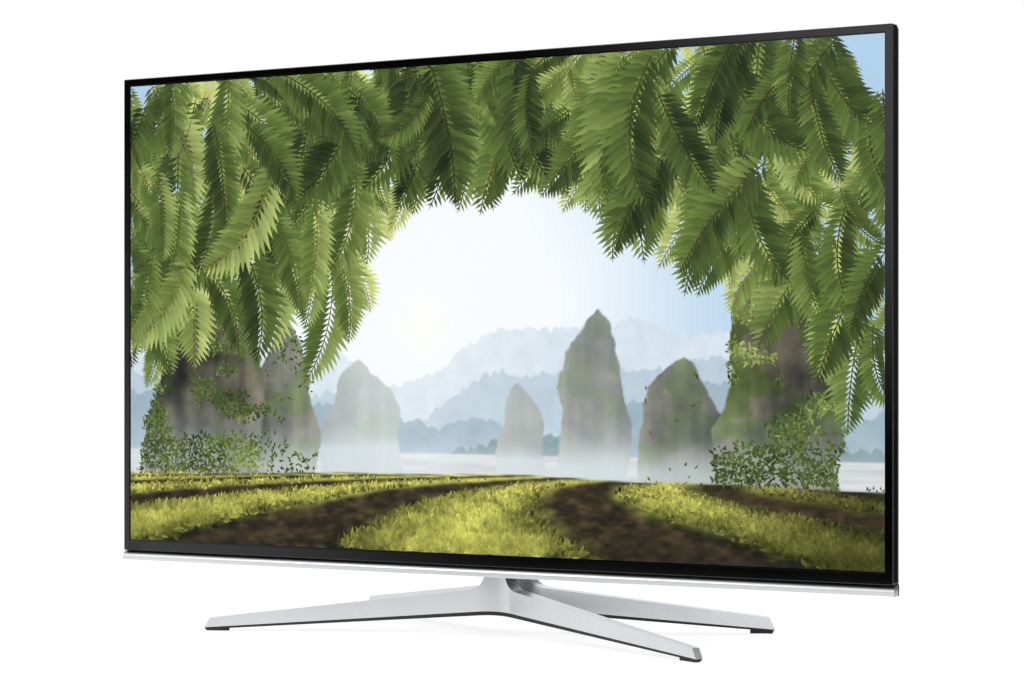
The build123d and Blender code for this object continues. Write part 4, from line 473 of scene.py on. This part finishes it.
def blend_in(colour, rgb, amount):
    amount = np.clip(amount, 0, 1)[..., None]
    return colour * (1 - amount) + np.asarray(rgb) * amount


def shaded(light, full, least):
    """A colour that grows from the least to their sum with the light."""
    return np.stack([light * one + other for one, other in zip(full, least)], -1)


def from_glow(u, v):
    """Distance from the glow in the sky, in picture heights."""
    return np.hypot((u - GLOW[0]) * PICTURE_ASPECT, v - GLOW[1])


def hill_form(u, v, hill):
    """Distance inside a hill's outline, above 0 inside, and the place across it from -1 to 1."""
    middle, half_width, top, _, seed = hill
    t = np.clip((v - SHORE) / (top - SHORE), 0, 1)
    half = half_width * (1 - t**3.4) ** 0.6 * (1 - 0.22 * t)
    lean = middle + 0.10 * half_width * np.sin(9 * t + seed)
    bulges = (cloud(seed + 3, u, v, 14, 4) - 0.5) * 0.45 * half_width
    ragged = bulges + (cloud(seed + 5, u, v, 60, 3) - 0.5) * 0.010
    inside = half + ragged * (t < 1) - np.abs(u - lean)
    return np.where(v > top, np.minimum(top - v, inside), inside), (u - lean) / half_width


def growth(u, v):
    """How densely small plants grow on the hills, 0 to 1. Hills in the haze carry none."""
    dense = np.zeros_like(u)
    for hill in HILLS:
        _, _, top, haze, seed = hill
        inside, _ = hill_form(u, v, hill)
        bare = smooth((haze - 0.12) / 0.2)
        t = (v - SHORE) / (top - SHORE)
        ledges = smooth((cloud(seed + 9, u, v, 26, 3, 2.4) - 0.50) / 0.06)
        crown = smooth((t - 0.62) / 0.25) * smooth((cloud(seed + 13, u, v, 20, 3) - 0.34) / 0.1)
        foot = smooth((0.16 - t) / 0.08)
        own = np.maximum(np.maximum(ledges, crown), foot) * (v > SHORE - 0.01) * (v < top)
        dense = np.where(inside > -0.001, own * (1 - bare), dense)
    return dense


def planted_row(u, v):
    """Height of the planted rows at a place on the field, from -1 between rows to 1 on a row."""
    depth = np.clip((SHORE - v) / SHORE, 0, 1)
    near = 1 / (depth + 0.16)
    wander = 0.03 * (cloud(83, u, v, 20, 3, 2.0) - 0.5) * near
    across = (u - 0.70) * near + 0.42 * np.sin(0.55 * near) + wander
    return np.cos(math.tau * 1.9 * across)


def field_light(u):
    """Light on the field, which falls into shade at the right."""
    return 1 - 0.6 * smooth((u - 0.74) / 0.26)


def paint_sky(u, v, away):
    sky = np.full((*u.shape, 3), (0.66, 0.80, 0.91))
    return blend_in(sky, (0.97, 0.985, 1.0), smooth(1.25 - 1.5 * away) + 0.25 * cloud(5, u, v, 4, 4))


def paint_ridges(colour, u, v, away):
    for seed, height, relief, rgb in RIDGES:
        ridge = height + relief * (cloud(seed, u, u * 0, 5, 5) - 0.5) * 2
        ridge = ridge + 0.014 * (value_noise(seed + 8, u, u * 0, 190, 1) - 0.5)
        ridge = ridge + 0.10 * np.abs(u - GLOW[0]) * (height > 0.25)
        body = smooth((ridge - v) / 0.004)
        veil = 0.62 * bell(v - SHORE, 0.07) + 0.35 * bell(away, 0.30)
        texture = 0.06 * (cloud(seed + 2, u, v, 70, 4) - 0.5)
        colour = blend_in(colour, rgb, body * np.clip(1 - veil, 0, 1))
        colour = colour + (texture * body)[..., None]
    return colour


def paint_lake(colour, u, v):
    ripple = cloud(61, u, v * 0.9, 12, 5, 22.0)
    tone = 0.80 + 0.16 * ripple - 0.10 * np.abs(u - GLOW[0])
    water = np.stack([tone, tone * 1.02, tone * 1.035], -1)
    return blend_in(colour, water, smooth((LAKE_END - v) / 0.004))


def paint_hills(colour, u, v, away):
    """Rain-streaked rock with moss, lit from the side of the glow."""
    for hill in HILLS:
        middle, _, top, veil, seed = hill
        inside, across = hill_form(u, v, hill)
        body = smooth(inside / 0.0026) * (v > SHORE - 0.02)
        streaks = cloud(seed + 21, u, v, 64, 4, 0.10) - 0.5
        blocks = cloud(seed + 27, u, v, 34, 5, 1.3) - 0.5
        side = np.sign(GLOW[0] - middle) * across
        lit = np.clip(0.58 + 0.30 * side + 0.70 * streaks + 0.75 * blocks, 0.03, 1.1)
        rock = shaded(lit, (0.44, 0.41, 0.33), (0.045, 0.05, 0.045))
        green = shaded(lit, (0.30, 0.38, 0.13), (0.03, 0.05, 0.02))
        moss = smooth((cloud(seed + 31, u, v, 22, 4, 1.6) - 0.47) / 0.1)
        rock = blend_in(rock, green, 0.72 * moss)
        t = np.clip((v - SHORE) / (top - SHORE), 0, 1)
        haze = np.clip(veil + 0.45 * bell(t, 0.22) + 0.18 * bell(away, 0.26), 0, 0.9)
        rock = blend_in(rock, HAZE_COLOUR, haze)
        colour = blend_in(colour, rock, body)
    return colour


def paint_field(colour, u, v):
    """The near bank, planted in curving rows."""
    bank = SHORE + 0.012 * (cloud(67, u, u * 0, 7, 4) - 0.5) - 0.03 * np.abs(u - 0.5)
    depth = np.clip((bank - v) / bank, 0, 1)
    row = planted_row(u, v)
    tuft = cloud(73, u, v, 70, 4, 2.2)
    patch = cloud(79, u, v, 9, 4, 2.0)
    sunny = 0.50 + 0.34 * row - 0.22 * depth + 0.5 * (tuft - 0.5) + 0.4 * (patch - 0.5)
    sunny = np.clip(sunny, 0.05, 1) * field_light(u)
    field = shaded(sunny, (0.86, 0.84, 0.42), (0.05, 0.06, 0.03))
    soil = shaded(tuft, (0.34, 0.27, 0.18), (0.07, 0.06, 0.05))
    furrow = smooth((-0.2 - row) / 0.5) * smooth(depth / 0.15)
    field = blend_in(field, soil, 0.75 * furrow)
    return blend_in(colour, field, smooth((bank - v) / 0.003))


def paint_glow(colour, u, v, away):
    """The glow in the sky, with soft rays."""
    angle = np.arctan2(v - GLOW[1], (u - GLOW[0]) * PICTURE_ASPECT)
    rays = 0.5 + 0.5 * np.cos(angle * 9 + 1.3) * np.cos(angle * 4 - 0.4)
    halo = 0.75 * bell(away, 0.055) + 0.16 * bell(away, 0.22) * (0.5 + 0.5 * rays)
    return blend_in(colour, (1, 1, 0.96), halo)


def backdrop_colour(u, v):
    away = from_glow(u, v)
    colour = paint_sky(u, v, away)
    colour = paint_ridges(colour, u, v, away)
    colour = paint_lake(colour, u, v)
    colour = paint_hills(colour, u, v, away)
    colour = paint_field(colour, u, v)
    return paint_glow(colour, u, v, away)


def linear_light(display):
    """Display values as linear ones."""
    display = np.clip(display, 0, 1)
    return np.where(display <= 0.04045, display / 12.92, ((display + 0.055) / 1.055) ** 2.4)


def picture_mesh(name, points, faces, colours, material):
    """Mesh that shows the colours of its points."""
    mesh = bpy.data.meshes.new(name)
    mesh.from_pydata(points.tolist(), [], faces.tolist())
    layer = mesh.color_attributes.new("tone", "FLOAT_COLOR", "POINT")
    opaque = np.ones((len(colours), 1))
    flat = np.concatenate([linear_light(colours), opaque], 1).astype(np.float32)
    layer.data.foreach_set("color", flat.ravel())
    mesh.materials.append(material)
    obj = bpy.data.objects.new(name, mesh)
    scene.collection.objects.link(obj)
    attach(obj, "set")
    return obj


def screen_material():
    mat, tree, bsdf = new_material("screen_light")
    tone = tree.nodes.new("ShaderNodeVertexColor")
    tone.layer_name = "tone"
    tree.links.new(tone.outputs["Color"], bsdf.inputs["Emission Color"])
    bsdf.inputs["Emission Strength"].default_value = 1.0
    bsdf.inputs["Base Color"].default_value = (0.004, 0.004, 0.004, 1)
    bsdf.inputs["Roughness"].default_value = 0.35
    bsdf.inputs["Specular IOR Level"].default_value = 0.06
    return mat


def leaf_tones(light):
    """Leaf colours for a light from 0 to 1: dark in shade, yellow-green where light comes through."""
    light = light[:, None]
    dark, middle, bright = LEAF_COLOURS
    shade = dark + (middle - dark) * light * 2
    return np.where(light < 0.5, shade, middle + (bright - middle) * (light - 0.5) * 2)


class Leaves:
    """Pointed leaves with four corners, on a picture of a width and a height in metres."""

    def __init__(self, width, height):
        self.width = width
        self.height = height
        self.corners = []
        self.tones = []
        self.layers = []

    def add(self, x, z, angle, length, width, colour, layer):
        """Leaves from their feet along their angles, in a layer from 0, at the back, upwards."""
        along = np.stack([np.cos(angle), np.sin(angle)], -1)
        over = np.stack([-np.sin(angle), np.cos(angle)], -1)
        foot = np.stack([x, z], -1)
        middle = foot + along * (length * 0.42)[:, None]
        reach = over * (width / 2)[:, None]
        tip = foot + along * length[:, None]
        self.corners.append(np.stack([foot, middle + reach, tip, middle - reach], 1))
        self.tones.append(colour[:, None, :] * np.array(LEAF_SHADES)[None, :, None])
        self.layers.append(np.full(len(x), layer))

    def points_and_tones(self, low):
        """The corners of the leaves that reach into the picture, cut off at its edges, and their tones."""
        size = (self.width, self.height)
        corners = np.concatenate(self.corners)
        keep = np.all((corners.min(1) < size) & (corners.max(1) > 0), -1)
        flat = np.clip(corners[keep].reshape(-1, 2), 0, size)
        layer = np.repeat(np.concatenate(self.layers)[keep], 4)
        depth = low.y - LEAF_GAP - LEAF_SPREAD * layer / LAYER_RANGE
        points = np.stack([low.x + flat[:, 0], depth, low.z + flat[:, 1]], -1)
        return points, np.concatenate(self.tones)[keep].reshape(-1, 3)


def add_hill_plants(leaves, rng):
    u = rng.random(HILL_PLANTS)
    v = SHORE - 0.01 + 0.56 * rng.random(HILL_PLANTS)
    keep = rng.random(HILL_PLANTS) < growth(u, v) * 0.75
    u, v = u[keep], v[keep]
    count = len(u)
    light = 0.10 + 0.75 * cloud(171, u, v, 30, 4) + rng.normal(0, 0.10, count)
    angle = rng.uniform(0, math.tau, count)
    length = rng.uniform(0.004, 0.010, count)
    width = rng.uniform(0.002, 0.004, count)
    colour = leaf_tones(np.clip(light, 0.02, 1))
    leaves.add(u * leaves.width, v * leaves.height, angle, length, width, colour, 0.0)


def add_row_plants(leaves, rng):
    u = rng.random(ROW_PLANTS)
    v = SHORE * (1 - rng.random(ROW_PLANTS) ** 0.7) - 0.012
    row = planted_row(u, v)
    near = np.clip((SHORE - v) / SHORE, 0, 1)
    keep = (rng.random(ROW_PLANTS) < smooth((row + 0.25) / 0.6)) & (v > 0)
    u, v, row, near = u[keep], v[keep], row[keep], near[keep]
    count = len(u)
    tufts = 0.5 * (cloud(73, u, v, 60, 4, 2.2) - 0.5)
    light = 0.36 + 0.34 * row + tufts + rng.normal(0, 0.12, count)
    light = np.clip(light * field_light(u), 0.02, 1)
    angle = rng.normal(math.pi / 2, 0.75, count)
    length = (0.004 + 0.012 * near) * rng.uniform(0.7, 1.2, count)
    width = 0.002 + 0.004 * near
    colour = shaded(light, (0.88, 0.87, 0.42), (0.06, 0.07, 0.03))
    leaves.add(u * leaves.width, v * leaves.height, angle, length, width, colour, 0.1)


def add_frond(leaves, rng, share):
    """A bent fern frond that hangs in from the top or an upper side. Its share is 0 for the furthest."""
    start_u = rng.random() * 1.1 - 0.05
    reach = np.interp(start_u, FROND_PLACES, FROND_REACH)
    start_v = 1.05 - reach * rng.random() ** 1.25
    inward = 1 if start_u < 0.5 else -1
    angle = -math.pi / 2 + inward * rng.uniform(-0.5, 1.25)
    bend = -inward * rng.uniform(0.2, 1.1)
    length = rng.uniform(0.07, 0.155) * (0.85 + 0.35 * share)
    s = np.linspace(0.04, 1, FROND_PAIRS)
    turn = angle + bend * s**1.4
    step = length / FROND_PAIRS
    x = start_u * leaves.width + np.cumsum(np.cos(turn)) * step
    z = start_v * leaves.height + np.cumsum(np.sin(turn)) * step
    glow = math.exp(-((from_glow(start_u, start_v) / 0.75) ** 2))
    base = 0.30 + 0.62 * (1 - share) * glow + 0.20 * (1 - share) + rng.normal(0, 0.08)
    base += 0.30 * rng.random() ** 3
    leaf = length * 0.27 * np.sin(math.pi * np.clip(0.10 + 0.88 * s, 0, 1)) ** 0.75 + 0.002
    for hand in (-1, 1):
        light = np.clip(base + 0.10 * hand * inward + rng.normal(0, 0.05, FROND_PAIRS), 0.0, 1)
        lengths = leaf * rng.uniform(0.85, 1.1, FROND_PAIRS)
        spread = turn + hand * (1.15 - 0.45 * s)
        leaves.add(x, z, spread, lengths, leaf * 0.24, leaf_tones(light), 0.2 + 0.8 * share)
    stem_light = np.full(FROND_PAIRS, max(base - 0.12, 0.0))
    stem = leaf_tones(stem_light) * np.array([1.15, 0.95, 0.8])
    stem_length = np.full(FROND_PAIRS, step * 2.4)
    stem_width = np.full(FROND_PAIRS, 0.0022)
    back_x, back_z = x - np.cos(turn) * step, z - np.sin(turn) * step
    leaves.add(back_x, back_z, turn, stem_length, stem_width, stem, 0.205 + 0.8 * share)


def screen_picture():
    low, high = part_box("front_polariser")
    width = high.x - low.x
    height = high.z - low.z
    mat = screen_material()

    # Painted ground layer
    columns, rows = GROUND_POINTS
    u, v = np.meshgrid(np.linspace(0, 1, columns), np.linspace(0, 1, rows))
    points = np.stack([low.x + u * width, np.full_like(u, low.y), low.z + v * height], -1)
    index = np.arange(columns * rows).reshape(rows, columns)
    faces = np.stack([index[:-1, :-1], index[:-1, 1:], index[1:, 1:], index[1:, :-1]], -1)
    colours = backdrop_colour(u, v).reshape(-1, 3)
    ground = picture_mesh("screen_picture", points.reshape(-1, 3), faces.reshape(-1, 4), colours, mat)
    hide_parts("front_polariser")

    # Leaves in front of it
    rng = np.random.default_rng(LEAF_SEED)
    leaves = Leaves(width, height)
    add_hill_plants(leaves, rng)
    add_row_plants(leaves, rng)
    for number in range(FRONDS):
        add_frond(leaves, rng, number / FRONDS)
    points, tones = leaves.points_and_tones(low)
    picture_mesh("screen_leaves", points, np.arange(len(points)).reshape(-1, 4), tones, mat)


screen_picture()

# Floor, world and lamps. The frame's gloss shows a gradient, so only reflections see two dark cloths
# on the floor, in front of the set and behind it on the right, and dark flags in the world behind
# them. Their soft edges are slopes, x over y: those of the cloths run fanwise from a fixed point, and
# those of the flags are directions. In front of the set, a larger slope is further to the left.
FRONT_FAN = (1.48, 2.36)
SIDE_FAN = (-0.40, -2.50)
FRONT_INNER_EDGE = (0.18, 0.33)
FRONT_OUTER_EDGE = (0.57, 0.81)
FLOOR_HALF = 14.0
FLOOR_DROP = 0.0002
FLOOR_GLOW = 1.22
FLOOR_GLOW_SHARE = 0.66
WORLD_LIGHT = 0.55
LAMP_TARGET = (0, 0, 0.3)


def mix_shaders(tree, factor, first, second):
    made = tree.nodes.new("ShaderNodeMixShader")
    tree.links.new(factor, made.inputs["Fac"])
    tree.links.new(first, made.inputs[1])
    tree.links.new(second, made.inputs[2])
    return made.outputs[0]


def fan(tree, place, point):
    """Slope of the line from a fixed point on the floor."""
    across = maths(tree, "SUBTRACT", place["X"], point[0])
    return maths(tree, "DIVIDE", across, maths(tree, "SUBTRACT", place["Y"], point[1]))


def seen_directly(tree, path):
    return maths(tree, "MAXIMUM", path["Is Camera Ray"], path["Is Transmission Ray"])


def floor_cloths(tree, vector):
    """How dark each place of the floor is in reflections, 0 to 1."""
    place = axes(tree, vector)
    front = fan(tree, place, FRONT_FAN)
    dark_front = maths(
        tree, "MULTIPLY",
        ramp(tree, front, FRONT_OUTER_EDGE, 1.0, 0.28),
        ramp(tree, front, FRONT_INNER_EDGE),
        ramp(tree, place["Y"], (-0.9, -0.6), 1.0, 0.0),
    )
    side = fan(tree, place, SIDE_FAN)
    dark_side = maths(
        tree, "MULTIPLY",
        ramp(tree, side, (0.12, 0.28)),
        ramp(tree, side, (0.50, 0.80), 1.0, 0.0),
        ramp(tree, place["Y"], (0.35, 0.8), 0.0, 0.97),
    )
    return maths(tree, "MAXIMUM", dark_front, dark_side)


def floor():
    """White floor that keeps the shadow."""
    mesh = bpy.data.meshes.new("floor")
    corners = [(-1, -1), (1, -1), (1, 1), (-1, 1)]
    mesh.from_pydata([(x * FLOOR_HALF, y * FLOOR_HALF, 0) for x, y in corners], [], [(0, 1, 2, 3)])
    obj = bpy.data.objects.new("floor", mesh)
    obj.location = (0, 0, -FLOOR_DROP)
    scene.collection.objects.link(obj)
    mat, tree, bsdf = new_material("floor_white")
    vector = coordinates(tree)
    tint(tree, bsdf, span(tree, noise(tree, vector, 3), 0, 1), (0.86, 0.86, 0.86), (0.89, 0.89, 0.89))
    bsdf.inputs["Roughness"].default_value = 0.6
    glow = tree.nodes.new("ShaderNodeEmission")
    glow.inputs["Strength"].default_value = FLOOR_GLOW
    black = tree.nodes.new("ShaderNodeEmission")
    black.inputs["Strength"].default_value = 0.0
    path = tree.nodes.new("ShaderNodeLightPath").outputs
    seen = maths(tree, "MAXIMUM", seen_directly(tree, path), path["Is Glossy Ray"])
    glow_share = maths(tree, "MULTIPLY", seen, FLOOR_GLOW_SHARE)
    cloth = maths(tree, "MULTIPLY", floor_cloths(tree, vector), path["Is Glossy Ray"])
    plain = mix_shaders(tree, glow_share, bsdf.outputs[0], glow.outputs[0])
    whole = mix_shaders(tree, cloth, plain, black.outputs[0])
    tree.links.new(whole, tree.nodes["Material Output"].inputs["Surface"])
    mesh.materials.append(mat)


def background(tree, strength):
    made = tree.nodes.new("ShaderNodeBackground")
    made.inputs["Color"].default_value = (1, 1, 1, 1)
    made.inputs["Strength"].default_value = strength
    return made


def world_flags(tree):
    """How bright the world is in reflections, 0 to 1, in each direction."""
    place = axes(tree, tree.nodes.new("ShaderNodeTexCoord").outputs["Generated"])
    side = maths(tree, "DIVIDE", place["X"], place["Y"])
    lift = maths(tree, "DIVIDE", place["Z"], unsigned(tree, place["Y"]))
    # In front: bright at the right above the horizon, at the left below it, high up and beyond both
    right = ramp(tree, side, (0.395, 0.585), 1.0, 0.0)
    upper_right = maths(tree, "MULTIPLY", right, ramp(tree, lift, (-0.04, 0.10)))
    left = ramp(tree, side, FRONT_OUTER_EDGE, 0.0, 0.72)
    lower_left = maths(tree, "MULTIPLY", left, ramp(tree, lift, (-0.09, 0.15), 1.0, 0.0))
    above = ramp(tree, lift, (0.24, 0.45))
    outside = ramp(tree, side, (0.9, 1.2))
    inside = ramp(tree, side, FRONT_INNER_EDGE, 1.0, 0.0)
    front = maths(tree, "ADD", upper_right, lower_left, above, outside, inside)
    # Behind: dark on the right, to some 40 degrees from the horizon
    level = ramp(tree, unsigned(tree, lift), (0.75, 1.05), 1.0, 0.0)
    rear_dark = maths(tree, "MULTIPLY", ramp(tree, side, (-0.30, -0.05)), level, 0.95)
    rear = maths(tree, "SUBTRACT", 1.0, rear_dark)
    is_front = maths(tree, "LESS_THAN", place["Y"], 0.0)
    in_front = maths(tree, "MULTIPLY", is_front, maths(tree, "MINIMUM", front, 1.0))
    behind = maths(tree, "MULTIPLY", maths(tree, "SUBTRACT", 1.0, is_front), rear)
    return maths(tree, "ADD", in_front, behind)


def world():
    """White studio."""
    made = bpy.data.worlds.new("world")
    made.use_nodes = True
    scene.world = made
    tree = made.node_tree
    soft = background(tree, WORLD_LIGHT)
    white = background(tree, 1.0)
    flags = background(tree, 1.0)
    tree.links.new(world_flags(tree), flags.inputs["Strength"])
    path = tree.nodes.new("ShaderNodeLightPath").outputs
    shiny = mix_shaders(tree, path["Is Glossy Ray"], soft.outputs[0], flags.outputs[0])
    whole = mix_shaders(tree, seen_directly(tree, path), shiny, white.outputs[0])
    tree.links.new(whole, tree.nodes["World Output"].inputs["Surface"])


def lamp(name, place, size, energy):
    data = bpy.data.lights.new(name, "AREA")
    data.size = size
    data.energy = energy
    obj = bpy.data.objects.new(name, data)
    obj.location = place
    aim = Vector(LAMP_TARGET) - Vector(place)
    obj.rotation_euler = aim.to_track_quat("-Z", "Y").to_euler()
    scene.collection.objects.link(obj)


floor()
world()
lamp("key", (2.2, -1.6, 2.6), 1.6, 45)
lamp("fill", (-2.4, -2.6, 3.4), 2.0, 40)
lamp("rim", (0.3, 1.9, 3.6), 2.0, 42)
